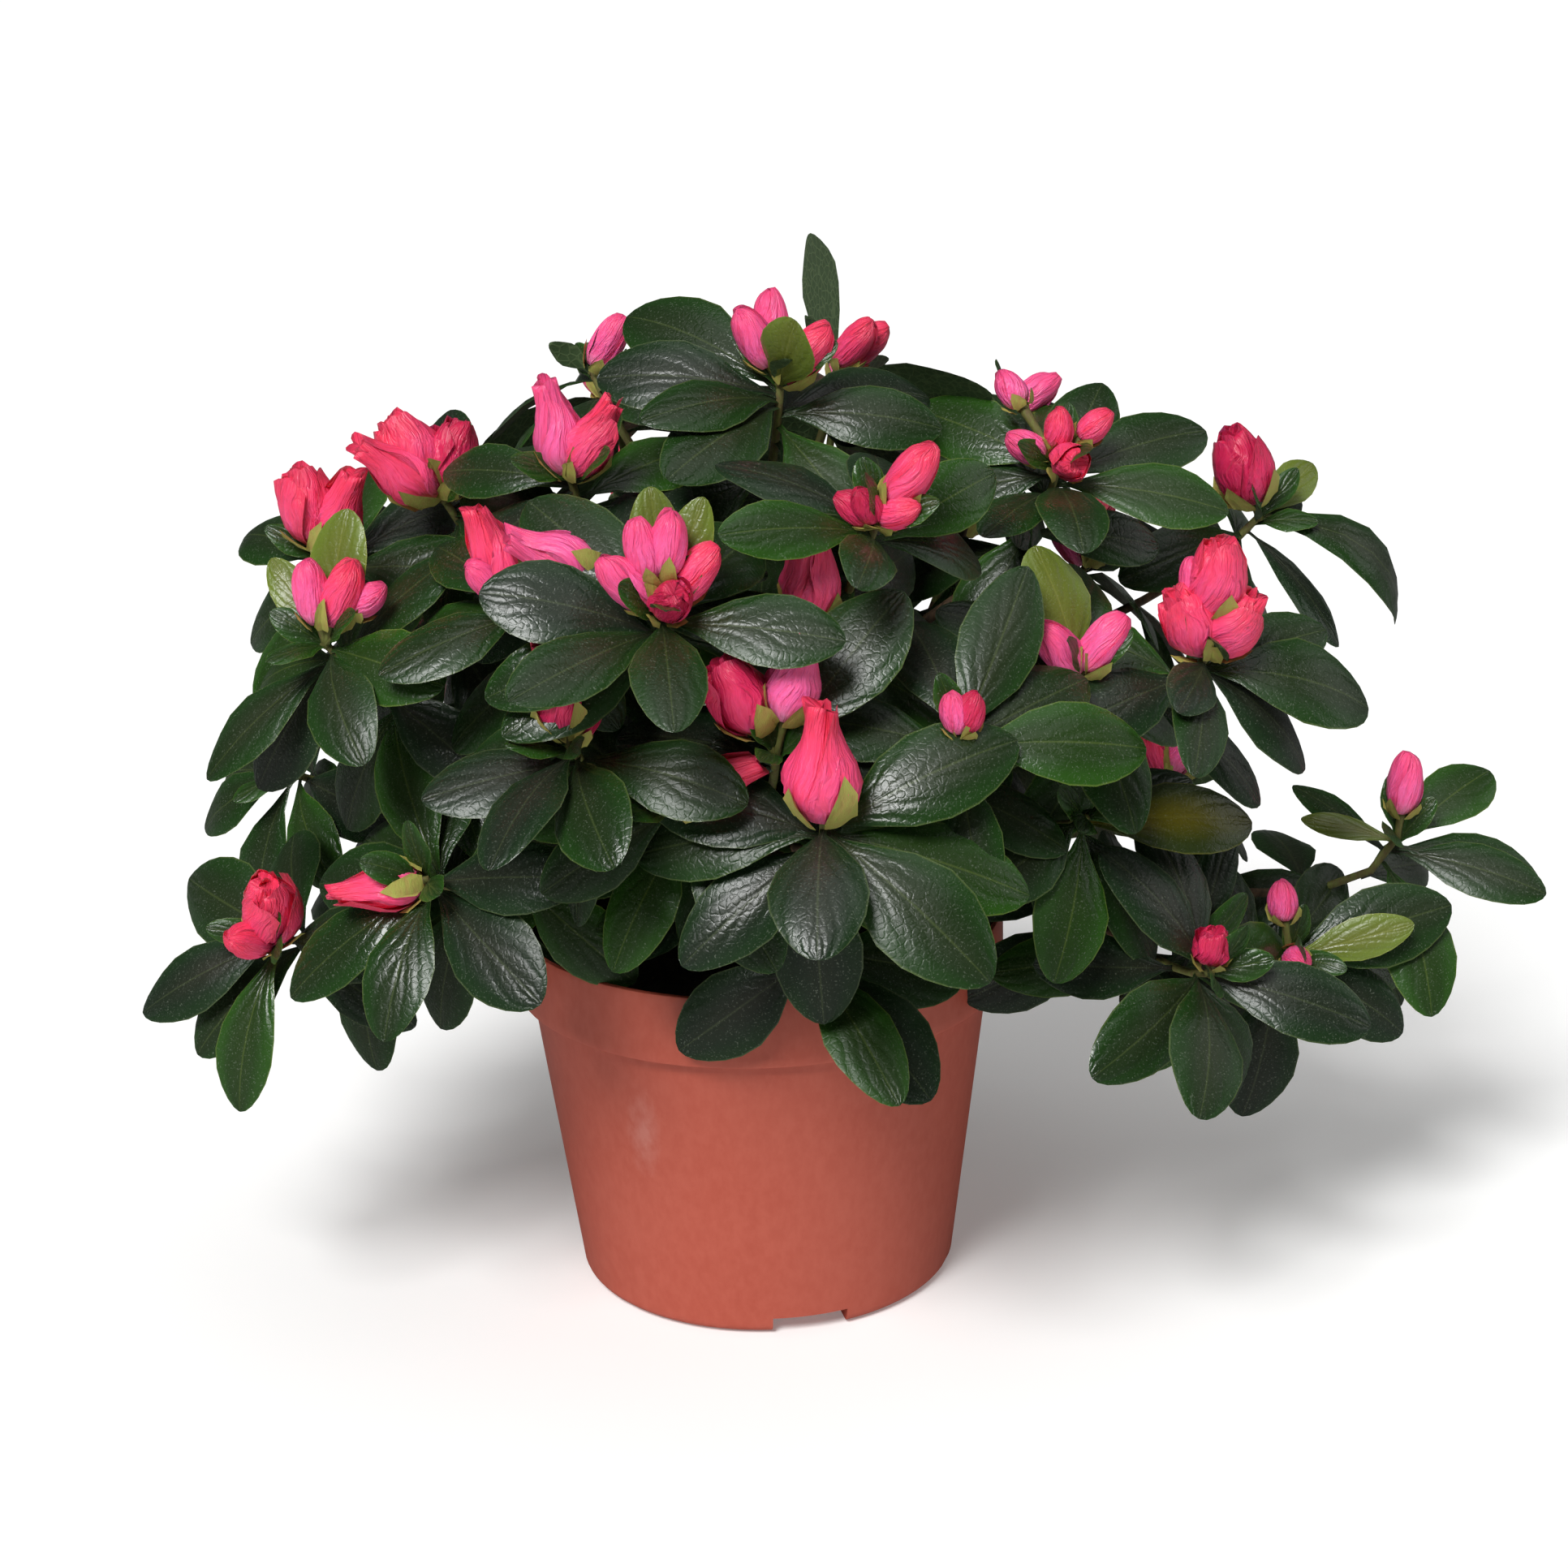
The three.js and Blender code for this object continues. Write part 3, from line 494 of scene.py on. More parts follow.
# A mass has the height at which its bough starts, and its shoots, each with a whorl of leaves. A
# shoot ends at tip, (bearing, rise, reach) from the heart; axis is the bearing and lean of that
# end. A leaf is a bearing, or (bearing, tilt, length, bend, kind, broad). A bud is
# (kind, bearing, rise, stalk, tone). Either may stop short.
crown = {
    "top": (120, [
        whorl((17, 77, 143), [(-130, 5, 50), (-95, 5), (-58, 0), (-35, 5), (120, -8), (85, 0), 160, 30,
            (10, 66, 27, 6, "youngLeaf", 1.2)],
            ("bud", -80, 62, 4), ("bud", 80, 48), ("bud", -150, 78, 6), leaf=44),
        whorl((135, 75, 136), [(-140, 68, 39, 3, None, 1.5), (95, 2, 36, 4), 60, 125, 175, -130],
            ("bud", 60, 50), ("bud", 100, 35), axis=(150, 14)),
        whorl((-118, 72, 140), [(-110, -5), (180, 12), 30, 75, -45, 130],
            ("bud", 90, 60), axis=(-120, 22), leaf=34),
    ]),
    "upper_left": (116.5, [
        whorl((-37, 61, 141), [(-120, -5), -80, -155, 170, 125, 70, 15],
            ("candle", -90, 78), ("candle", 70, 58)),
        whorl((-72, 55, 136), [(170, 10), 120, 70, 25, -20, -70, -120],
            ("open", -100, 56, 3, 0), ("candle", -65, 38, 2, 0), ("open", 120, 75), leaf=36),
        whorl((-79, 42, 144), [(-140, 0), 120, 70, 165, -95, -50],
            ("open", -90, 76, 3), ("candle", 60, 65)),
    ]),
    "upper_right": (116.5, [
        whorl((79, 55, 139), [
            (-130, 5), -95, (120, 0, 48), (80, -5, 45), (5, 18), (-30, 15), (155, 30), 180, -165],
            ("small", 0, 80, 3, 0), ("small", 85, 45, 7, 0), ("rosette", 20, 10, 1, 0),
            ("small", -130, 50, 16, 1), ("small", -80, 30, 3, 1), axis=(0, 20)),
    ]),
    "left": (104.5, [
        whorl((-64, 36, 141), [(45, 5), (0, 10), (-62, -30), (-60, -3), (-105, -15, 34), 120, 170,
            (-172, 30, 27, 6, "youngLeaf", 0.8), (148, 30, 34, 4, "youngLeaf", 1.3)],
            ("bud", -90, 80, 4), ("bud", 80, 68, 4), ("small", 85, 44, 10)),
        whorl((-97, 13, 129), [(-85, 0), -50, -15, 35, -125, 170, 100]),
    ]),
    "centre_left": (110.5, [
        whorl((-11, 45, 144), [(5, 22), (75, 12), (155, -10), (-42, 14), (-145, 0, 50), (-100, 0), 110, -70,
            (165, 42, 29, 4, "youngLeaf"), (-170, 38, 30, 4, "youngLeaf")],
            ("bud", -75, 76, 7), ("bud", 60, 82, 8), ("bud", -80, 46, 2), ("rosette", 20, 38, 1, 2),
            ("bud", 95, 50, 3), axis=(10, 38), leaf=44, lower=3),
        whorl((-38, 48, 131), [-150, 25, -65, 130, -110], ("candle", -80, 68), ("bud", -60, 40)),
        whorl((-23, 51, 136), [110, 60, -20, 160], ("candle", -85, 25)),
        whorl((-24, 34, 125), [(-120, -18), (-30, 12), (5, 15), 60, -75, 100],
            ("candle", -60, 78, 2, 2), ("bud", 120, 62, 0, 2), axis=(-35, 30)),
    ]),
    "centre": (116.5, [
        whorl((21, 54, 144), [(-110, 0), (-65, 5), (-5, 15, 30), (120, -12), (135, 5), (180, 5), -145, 75],
            ("bud", 85, 54, 4), ("small", -85, 35), ("small", -40, 50), ("small", 60, 25), axis=(40, 28)),
        whorl((11, 49, 116), [-70, 70, 125, -130, 10], ("candle", 0, 84, 4)),
    ]),
    "right_rear": (104.5, [
        whorl((102, 32, 164), [(88, -4, 66, 26, None, 0.62), (155, 5, 30), 60, -50, 15, 180, -120,
            (155, 18, 31, 5, "youngLeaf", 0.8), (145, 0, 27, 5, "youngLeaf", 0.8)],
            ("open", -90, 70, 3, 2), axis=(51, 40)),
    ]),
    "right": (110.5, [
        whorl((64, 31, 144), [(-15, 15, 30), (0, 5), (72, -18), (90, -5, 50), (120, 5), -50, -120, 155,
            (-170, 60, 22, 6, "youngLeaf")],
            ("open", -75, 60), ("open", 75, 58), ("open", 50, 84, 9), ("bud", -110, 80, 8),
            axis=(36, 36), leaf=44),
        whorl((53, 36, 123), [(-175, -5), -120, -40, 30, 120, (-150, 20, 34, 8, "youngLeaf", 1.3)],
            ("bud", -70, 50), ("bud", 90, 55)),
    ]),
    "right_front": (104.5, [
        whorl((27, 33, 127), [(-165, -15), (170, -5, 50), (135, -5), (95, -10, 48), -105, 15, -50],
            ("small", -60, 72), ("small", 60, 72)),
        whorl((56, 19, 104), [10, -30, 45, (100, 6, 52, 6, "yellowLeaf"), 130, -90]),
    ]),
    "front": (98.5, [
        whorl((8, 26, 124), [
            (-5, 15, 40, 12, "deepLeaf", 1.5), (35, -10, 53), (75, -20, 52), (120, -5, 52), (-95, -10),
            (-115, -5), (-170, -15), 150, -45], ("tall", 0, 86), axis=(-5, 42), leaf=46, young=0),
        whorl((3, 34, 121), [(150, 15, 50), -165, -120, -75, 100],
            ("open", -85, 62, 6), ("candle", 70, 76, 8)),
        whorl((-11, 29, 114), [-100, -60, 160, -150, 20], ("candle", 80, 28), lower=2),
        whorl((-13, 16, 75), [(-70, 5), (-30, 20), (150, 10), (60, 5), (110, 0)], lower=0, leaf=27),
        whorl((10, 5, 74), [(-35, -24, 43), (17, 26, 47), (24, 6, 48), 75, 160], lower=0),
    ]),
    "lower_left": (98.5, [
        whorl((-70, 2, 130), [
            (-68, 4, 46), (-36, 2, 46), (70, 15), (-150, -5), 15, 110, 170, (-52, 10, 44)],
            ("open", 10, 62), ("bud", -30, 20), leaf=44),
        whorl((-49, 15, 110), [
            (75, 12), (15, 5), (-25, 12), (-55, -10, 48), (165, -15), (175, 5), 120, -110, -145],
            ("candle", -90, -8), leaf=44),
    ]),
    "lower_right": (98.5, [
        whorl((62, -3, 127), [
            (-135, 4, 44), (-150, -10, 44), (-16, 12, 48), (14, 20, 47), (40, -16), (62, 30, 50),
            (-168, 24, 42, 3, None, 0.6), (175, 2, 28, 6, None, 0.7), -90, 95],
            ("rosette", 0, 74, 2, 2), leaf=44),
        whorl((80, -7, 141), [
            (55, -6), (90, -15), (120, -5, 50), 10, 160, -150, -60, (112, 30, 34, 6, "youngLeaf", 0.7)],
            ("small", -60, 80, 10, 1), ("small", 10, 12), axis=(20, 58)),
        whorl((90, 2, 170), [(135, 5), (83, -8, 42), (68, -8), (-148, -8, 38, 6, None, 0.6),
            (-115, -5, 26, 6, "youngLeaf", 0.55), (15, -20, 46)], ("bud", 60, 84, 6), axis=(10, 26)),
    ]),
}

# The back of the crown is an oval of even masses, step degrees apart, each with two or three
# shoots at their rises; offset turns the middle one.
rear = {
    "start": (110.5, 98.5, 104.5, 98.5, 110.5, 104.5), "bearing": 106, "step": 26, "rises": (6, 33),
    "crest": 59, "offset": 13, "across": 120, "height": 146,
    "leafStep": 52, "leafTurn": 17,
    "sideBuds": (("candle", 0, 72), ("bud", 150, 60)), "crestBuds": (("bud", 0, 35),),
}

for k, start in enumerate(rear["start"]):
    rises = rear["rises"] if k % 2 else rear["rises"] + (rear["crest"],)
    grown = []
    for j, rise in enumerate(rises):
        r = math.radians(rise)
        reach = 1 / math.hypot(math.cos(r) / rear["across"], math.sin(r) / rear["height"])
        bearing = rear["bearing"] + rear["step"] * k + rear["offset"] * (j % 2)
        bearings = [turn * rear["leafStep"] + rear["leafTurn"] * (k + 2 * j) for turn in range(7)]
        rows = rear["crestBuds"] if j == 2 else rear["sideBuds"]
        buds = [(kind, bearing + turn, up) for kind, turn, up in rows]
        grown.append(whorl((bearing, rise, reach), bearings, *buds))
    crown[f"rear_{k + 1}"] = (start, grown)

masses = [{"name": name, "start": start, "shoots": shoots} for name, (start, shoots) in crown.items()]


def chance(seed):
    value = math.sin(seed * 12.9898 + 78.233) * 43758.5453
    return value - math.floor(value)


def spread(pair, seed):
    # a least value plus a chance share of what it may grow by
    return pair[0] + pair[1] * chance(seed)


def settleShoot(shoot, number):
    bearing, rise, reach = shoot["tip"]
    turn = facing["turn"] if abs(bearing) < facing["widest"] else 1
    toward, lean = shoot.get("axis", (bearing * turn, facing["least"] + facing["share"] * (90 - rise)))
    shoot.update(
        number=number, end=heart + direction(bearing, rise) * reach, facing=direction(toward, 90 - lean),
        light=direction(toward, 90 - max(lean, facing["faceLean"])))


def settleMass(mass):
    v = boughValues
    middle = np.mean([shoot["end"] for shoot in mass["shoots"]], axis=0)
    fork = heart + (middle - heart) * v["spread"] + upwards * v["lift"]
    start = np.array([0, 0, mass["start"]])
    reach = np.linalg.norm(fork - start)
    outward = unit((middle - heart) * [1, 1, 0])
    control = start + outward * reach * v["arch"][0] + upwards * reach * v["arch"][1]
    ahead = unit(fork - control)
    stemTip = fork + ahead * (gap + v["stem"] / 2)
    mass.update(bough=(start, control, fork), ahead=ahead)
    for shoot in mass["shoots"]:
        end = shoot["end"]
        bend = end - shoot["facing"] * twigValues["arch"] * np.linalg.norm(end - stemTip)
        shoot["line"] = (stemTip, bend, end)
        shoot["path"], shoot["run"] = arcPoints(*shoot["line"], np.linspace(0, 1, pathSteps + 1))


leafValues = {
    "length": 42, "lower": 7, "young": 3, "free": 5, "turns": (0, 11, -11, 22, -22),
    "goldenTurn": 137.5, "darkBelow": 0.5, "deepBelow": 0.78,
    "roughHalf": 0.2, "roughLift": 0.5, "roughRows": (0.35, 0.75),  # shares of the length
    # pairs of a least value and what chance may add
    "tilt": (-2, -18), "size": (0.9, 0.18), "bend": (5, 8), "roll": (-10, 20),
    "lowerTilt": (-15, -22), "youngTilt": (42, 22),
    "lowerSize": 0.95, "youngSize": 0.42, "evenBend": 8, "youngTurn": 60,
    # how far back from the tip the first leaf sits, and the step to the next
    "back": (2.4, 1.4), "lowerBack": (17, 5), "youngBack": 1, "listedYoungBack": 1.5,
}


def offShoot(shoot, bearing, tilt):
    # a direction at a bearing, tilted up from the plane square to the shoot's axis
    flat = direction(bearing, 0)
    flat = unit(flat - shoot["facing"] * (flat @ shoot["facing"]))
    return flat * math.cos(math.radians(tilt)) + shoot["facing"] * math.sin(math.radians(tilt))


def turnAbout(vector, axis, degrees):
    angle = math.radians(degrees)
    level = vector * math.cos(angle) + np.cross(axis, vector) * math.sin(angle)
    return level + axis * (axis @ vector) * (1 - math.cos(angle))


def placeLeaf(shoot, one, tilt):
    along = offShoot(shoot, one["bearing"], tilt)
    face = unit(shoot["light"] - along * (shoot["light"] @ along))
    face = turnAbout(face, along, one["roll"])
    place = max(0.1, 1 - one["back"] / shoot["run"]) * pathSteps
    root = np.array([np.interp(place, np.arange(pathSteps + 1), shoot["path"][:, k]) for k in range(3)])
    return {**one, "root": root, "along": along, "face": face, "side": np.cross(along, face)}


def leavesOf(shoot):
    # the listed leaves first, then older ones down the twig and young ones round the tip
    v = leafValues
    size = shoot.get("leaf", v["length"])
    seed = 100 * shoot["number"]
    found = []
    for k, entry in enumerate(shoot["leaves"]):
        entry = entry if isinstance(entry, tuple) else (entry,)
        bearing, tilt, length, bend, kind, broad = entry + (None,) * (6 - len(entry))
        found.append({
            "bearing": bearing,
            "tilt": spread(v["tilt"], seed + k) if tilt is None else tilt,
            "length": length or size * spread(v["size"], seed + k + 20),
            "bend": spread(v["bend"], seed + k + 40) if bend is None else bend,
            "roll": spread(v["roll"], seed + k + 60),
            "back": v["listedYoungBack"] if kind == "youngLeaf" else v["back"][0] + v["back"][1] * k,
            "kind": kind, "broad": broad or 1,
        })
    turn = 360 * chance(seed + 80)
    for k in range(shoot.get("lower", v["lower"])):
        found.append({
            "bearing": turn + v["goldenTurn"] * k, "tilt": spread(v["lowerTilt"], seed + k + 82),
            "length": size * v["lowerSize"], "bend": v["evenBend"], "roll": spread(v["roll"], seed + k + 86),
            "back": v["lowerBack"][0] + v["lowerBack"][1] * k, "kind": None, "broad": 1})
    for k in range(shoot.get("young", v["young"])):
        found.append({
            "bearing": turn + v["youngTurn"] + v["goldenTurn"] * k,
            "tilt": spread(v["youngTilt"], seed + k + 90), "length": size * v["youngSize"],
            "bend": v["evenBend"], "roll": 0, "back": v["youngBack"] + k, "kind": "greenLeaf", "broad": 1})
    for k, one in enumerate(found):
        draw = chance(seed + k + 30)
        shade = "darkLeaf" if draw < v["darkBelow"] else "deepLeaf" if draw < v["deepBelow"] else "greenLeaf"
        one["kind"] = one["kind"] or shade
        one["draws"] = [chance(seed + k + more) for more in (11, 33, 55, 77)]
    return found


def roughBlade(one, start):
    # six corners that stand for a blade from a start on its length, and their four faces
    v, reach = leafValues, one["length"]
    half = one["side"] * reach * v["roughHalf"]
    lift = one["face"] * reach * v["roughLift"] * math.sin(math.radians(one["bend"]))
    near, far = (one["root"] + one["along"] * reach * share + lift for share in v["roughRows"])
    foot, tip = (one["root"] + one["along"] * length for length in (start, reach))
    points = np.array([foot, near + half, near - half, far + half, far - half, tip])
    return points, [(0, 1, 2), (1, 3, 2), (3, 4, 2), (3, 5, 4)]


taken = []  # box and tree of every blade so far


def tryLeaf(one, shoot):
    # the first tilt at which the blade crosses none that is already there; a young leaf among
    # the buds stands as it is
    if one["kind"] == "youngLeaf":
        return placeLeaf(shoot, one, one["tilt"])
    for turn in leafValues["turns"]:
        placed = placeLeaf(shoot, one, one["tilt"] + turn)
        points, faces = roughBlade(placed, leafValues["free"])
        low, high = points.min(axis=0), points.max(axis=0)
        tree = BVHTree.FromPolygons(points.tolist(), faces)
        near = (other for (least, most), other in taken if (low < most).all() and (least < high).all())
        if not any(tree.overlap(other) for other in near):
            taken.append(((low, high), tree))
            return placed
    return None


def sideOf(mass):
    return "rear" if mass["name"].startswith("rear") else "front"


allShoots = [(shoot, mass) for mass in masses for shoot in mass["shoots"]]
for number, (shoot, mass) in enumerate(allShoots):
    settleShoot(shoot, number)
for mass in masses:
    settleMass(mass)
queues = [(leavesOf(shoot), shoot, mass) for shoot, mass in allShoots]
grownLeaves = {"front": [], "rear": []}
for rank in range(max(len(queue) for queue, _, _ in queues)):
    for queue, shoot, mass in queues:
        placed = tryLeaf(queue[rank], shoot) if rank < len(queue) else None
        if placed:
            grownLeaves[sideOf(mass)].append(placed)
print("leaves placed:", {side: len(found) for side, found in grownLeaves.items()})


bladeShape = {
    "rows": (0, 0.09, 0.22, 0.38, 0.54, 0.68, 0.79, 0.88, 0.945, 0.986, 1.0), "columns": 5,
    "width": 0.44, "broader": (0.86, 0.3), "petiole": 0.09, "petioleWidth": 1.7, "tipWidth": 0.5,
    "thickness": 0.45, "rounding": (1.02, 0.28), "blunting": (0.95, 0.4), "arc": 2.2, "droop": 10,
    "fold": 0.2, "foldSpread": (0.6, 0.8), "curl": 0.3, "wave": 0.5, "waves": 1.6, "twist": 24,
}


def makeLeaves(name, leaves, nodes):
    # A blade is a sheet of u across (-1 to 1) and v along (0 to 1). Its half width is
    # sin(pi s^e)^(0.95 - 0.4 s), with s the share of v past the stalk and e from 1.02 on a
    # pointed leaf to 1.3 on one that is broadest near its tip. Its middle line is
    # an arc that turns from twice the bend up to twice the bend down, and each half rises
    # from the rib by fold u - curl u^3, with a slow wave along the margin.
    b = bladeShape
    v = np.array(b["rows"])
    u = np.linspace(-1, 1, b["columns"])
    length, bend, draws = (listed(leaves, key) for key in ("length", "bend", "draws"))
    bend = np.radians(bend)
    share = np.clip((v - b["petiole"]) / (1 - b["petiole"]), 0, 1)
    rounding = b["rounding"][0] + b["rounding"][1] * draws[:, 3:4]
    outline = np.abs(np.sin(np.pi * share ** rounding)) ** (b["blunting"][0] - b["blunting"][1] * share)
    kinds = np.array([leafSlots.index(one["kind"]) for one in leaves])
    young = kinds == leafSlots.index("youngLeaf")
    width = length * b["width"] * (b["broader"][0] + b["broader"][1] * draws[:, 0]) * listed(leaves, "broad")
    stalk = np.linspace(b["petioleWidth"], b["tipWidth"], len(v)) / 2
    half = np.maximum(outline * width[:, None] / 2, stalk)
    droop = np.radians(b["droop"]) * (draws[:, 1:2] - 0.3) * v ** 2
    slope = b["arc"] * bend[:, None] * (1 - 2 * v[None]) - droop
    steps = np.diff(v, prepend=0)
    along = np.cumsum(np.cos(slope) * steps, axis=1) * length[:, None]
    rise = np.cumsum(np.sin(slope) * steps, axis=1) * length[:, None]
    twist = (np.radians(b["twist"]) * (draws[:, 2:3] - 0.5) * v)[..., None]
    x = half[..., None] * u
    fold = b["fold"] * (b["foldSpread"][0] + b["foldSpread"][1] * draws[:, 3])[:, None, None]
    bow = fold * np.abs(u) - b["curl"] * np.abs(u) ** 3
    phase = 2 * np.pi * (b["waves"] * v[None] + draws[:, :1])
    ripple = np.sin(phase)[..., None] * u ** 2 * np.sign(u) * b["wave"]
    z = half[..., None] * bow + ripple * outline[..., None]
    across = x * np.cos(twist) - z * np.sin(twist)
    height = x * np.sin(twist) + z * np.cos(twist)
    root, side, ahead, face = (listed(leaves, key, 2) for key in ("root", "side", "along", "face"))
    sheet = root + side * across[..., None] + ahead * along[:, :, None, None]
    sheet = sheet + face * (height + rise[..., None])[..., None]
    uv = np.stack(np.broadcast_arrays((u[None] + 1) / 2, v[:, None]), axis=-1)
    points, faces, isBack, uvs, rim = thickSheets(sheet, b["thickness"], uv, skip=2)
    unders = np.where(young, leafSlots.index("youngUnderside"), leafSlots.index("paleUnderside"))
    each = len(faces) // len(leaves)
    slots = np.where(isBack, np.repeat(unders, each), np.repeat(kinds, each))
    materials = list(leafTops.values()) + list(leafUnders.values())
    piece = makePiece(name, points, faces, materials, slots, uvs, rim)
    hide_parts(*nodes)
    print(name, "has", len(leaves), "leaves of", each, "faces")


foliageNodes = {
    side: ["foliage_" + mass["name"] for mass in masses if sideOf(mass) == side]
    for side in ("front", "rear")}
makeLeaves("leavesFront", grownLeaves["front"], foliageNodes["front"])
makeLeaves("leavesRear", grownLeaves["rear"], foliageNodes["rear"])


def makeTwigs():
    # twigs taper from the root to the tip, and sines of the angle and the share along roughen them
    v = twigValues
    share = np.linspace(0, 1, v["rings"])
    paths = np.stack([arcPoints(*shoot["line"], share)[0] for shoot, _ in allShoots])
    radii = (v["rootRadius"] + (v["tipRadius"] - v["rootRadius"]) * share)[None, :, None]
    number = np.arange(1, len(paths) + 1)[:, None, None]
    bumps = 1 + v["relief"] * np.sin(5 * share[None, :, None] * number + np.arange(v["sides"]))
    points, faces = tubes(paths, radii * bumps)
    ring = np.arange(v["rings"] - 1).repeat(v["sides"])
    caps = [0] * v["sides"] + [1] * v["sides"]
    slots = np.tile(np.concatenate([(ring > v["greenFrom"] * v["rings"]).astype(int), caps]), len(paths))
    piece = makePiece("twigs", points, faces, [woodyStem, greenStem], slots)
    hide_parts(*foliageNodes["front"], *foliageNodes["rear"])


trunkValues = {
    "foot": 92.8, "top": 121, "footRadius": 7.5, "topRadius": 5.6, "flare": 4, "lean": 2, "straight": 10,
    "relief": 0.07, "ridges": ((3, 9, 1, 0.6), (5, -17, 2, 0.4)),  # round, along, from limb to limb, size
}


def makeLimbs():
    # the trunk is a tube along its leaning line, with a root flare that fades by the third of
    # its height; boughs taper evenly. Bark relief multiplies the radius by a sum of sines of
    # the angle round and the share along.
    v, t = boughValues, trunkValues
    share = np.linspace(0, 1, v["rings"])
    turn = np.arange(v["sides"]) * 2 * np.pi / v["sides"]
    paths = []
    for mass in masses:
        path = arcPoints(*mass["bough"], share)[0]
        path[-1] += mass["ahead"] * v["stem"] / 2
        paths.append(path)
    foot, bend, top = [0, 0, t["foot"]], [0, 0, t["top"] - t["straight"]], [t["lean"], 0, t["top"]]
    paths.append(arcPoints(np.array(foot), np.array(bend), np.array(top), share)[0])
    taper = v["rootRadius"] + (v["tipRadius"] - v["rootRadius"]) * share
    flare = t["flare"] * np.maximum(0, 1 - 3 * share) ** 2
    trunk = t["footRadius"] + (t["topRadius"] - t["footRadius"]) * share + flare
    radii = np.stack([taper] * len(masses) + [trunk])[..., None]
    number = np.arange(len(paths))[:, None, None]
    ridges = waves(t["ridges"], turn, share[:, None], number)
    points, faces = tubes(np.stack(paths), radii * (1 + t["relief"] * ridges))
    piece = makePiece("trunkAndBoughs", points, faces, [woodyStem])
    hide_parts("trunk", *["bough_" + mass["name"] for mass in masses])


makeTwigs()
makeLimbs()
print("wood is grown")


# A bud is a body of three petals wrapped round one another, with loose petals in and round it.
# The profile is its radius at even heights. A step is how far one petal stands off the next,
# spiral how far the edges wind round, folds and frill how much it crumples on the sides and at
# the tip, hollow how deep the mouth is sunk, and tones the petal colours it may take.
budFields = ("length", "radius", "step", "spiral", "folds", "frill", "hollow", "petals", "tones", "profile")
budRows = {
    "bud": (18, 4.8, 0.14, 0.7, 0.035, 0.03, 0.0, 0, (1, 1, 0), (0.55, 0.88, 1.0, 1.0, 0.94, 0.78, 0.42)),
    "candle": (25, 6.4, 0.18, 1.0, 0.08, 0.14, 0.08, 3, (0, 1, 0), (0.5, 0.9, 1.0, 0.86, 0.66, 0.5, 0.4)),
    "tall": (30, 8.4, 0.18, 1.0, 0.09, 0.15, 0.08, 3, (0, 0, 0), (0.5, 0.92, 1.0, 0.78, 0.55, 0.44, 0.42)),
    "open": (21, 7.6, 0.24, 0.8, 0.1, 0.18, 0.2, 8, (0, 0, 2), (0.42, 0.82, 0.98, 1.0, 0.93, 0.78, 0.5)),
    "rosette": (12, 5, 0.24, 0.8, 0.09, 0.14, 0.22, 4, (0, 2, 0), (0.5, 0.88, 1.0, 1.0, 0.95, 0.84, 0.6)),
    "small": (12, 3.9, 0.1, 0.7, 0.025, 0.0, 0.0, 0, (0, 1, 2), (0.6, 0.92, 1.0, 1.0, 0.9, 0.7, 0.36)),
}
budKinds = {name: dict(zip(budFields, row)) for name, row in budRows.items()}
budGrid = {
    "bodyRows": 15, "laps": 3, "lapShares": (0, 0.16, 0.34, 0.52, 0.7, 0.86, 1.0),
    "petalGrid": (7, 7), "scaleGrid": (5, 5), "thickness": 0.3, "scales": 4,
    # across, along, from petal to petal, size
    "foldWaves": ((11, 5, 1, 1), (19, -9, 2, 0.6)), "frillWaves": ((5, 0, 1, 1),),
    "ruffleWaves": ((3, 0, 1, 1), (5, 0, -2, 0.6)),
}
budPlaces = {
    "root": 1.5, "size": (0.92, 0.14), "snug": (0.96, 0.85),  # body radius in few and in many petals
    "petalRadius": (0.35, 0.69), "petalHeight": (1.03, -0.22), "petalSpan": (110, 40), "petalTurn": 2.4,
    "scaleHeight": (0.3, 0.22), "scaleRoot": 1.4, "scaleTurn": 1.5708, "fullTurn": 6.28,
    "stalkRings": (1.0, 1.0, 1.2, 1.6), "stalkSides": 7,
}


def budRadius(parts, h):
    # a polynomial of the fifth degree through the radii of each profile, at heights h
    even = np.linspace(0, 1, len(parts[0]["profile"]))
    fits = np.array([np.polyfit(even, part["profile"], 5) for part in parts])
    return (np.clip(h, 0, 1)[..., None] ** np.arange(5, -1, -1) * fits[:, None, None]).sum(axis=-1)


def spokes(parts, angle):
    # the axis of each bud and the directions that point from it at the angles round it
    axis = listed(parts, "along", 2)
    first = unit(np.cross(axis, np.where(np.abs(axis[..., 2:]) > 0.9, [1.0, 0, 0], [0, 0, 1.0])))
    return axis, first * np.cos(angle)[..., None] + np.cross(axis, first) * np.sin(angle)[..., None]


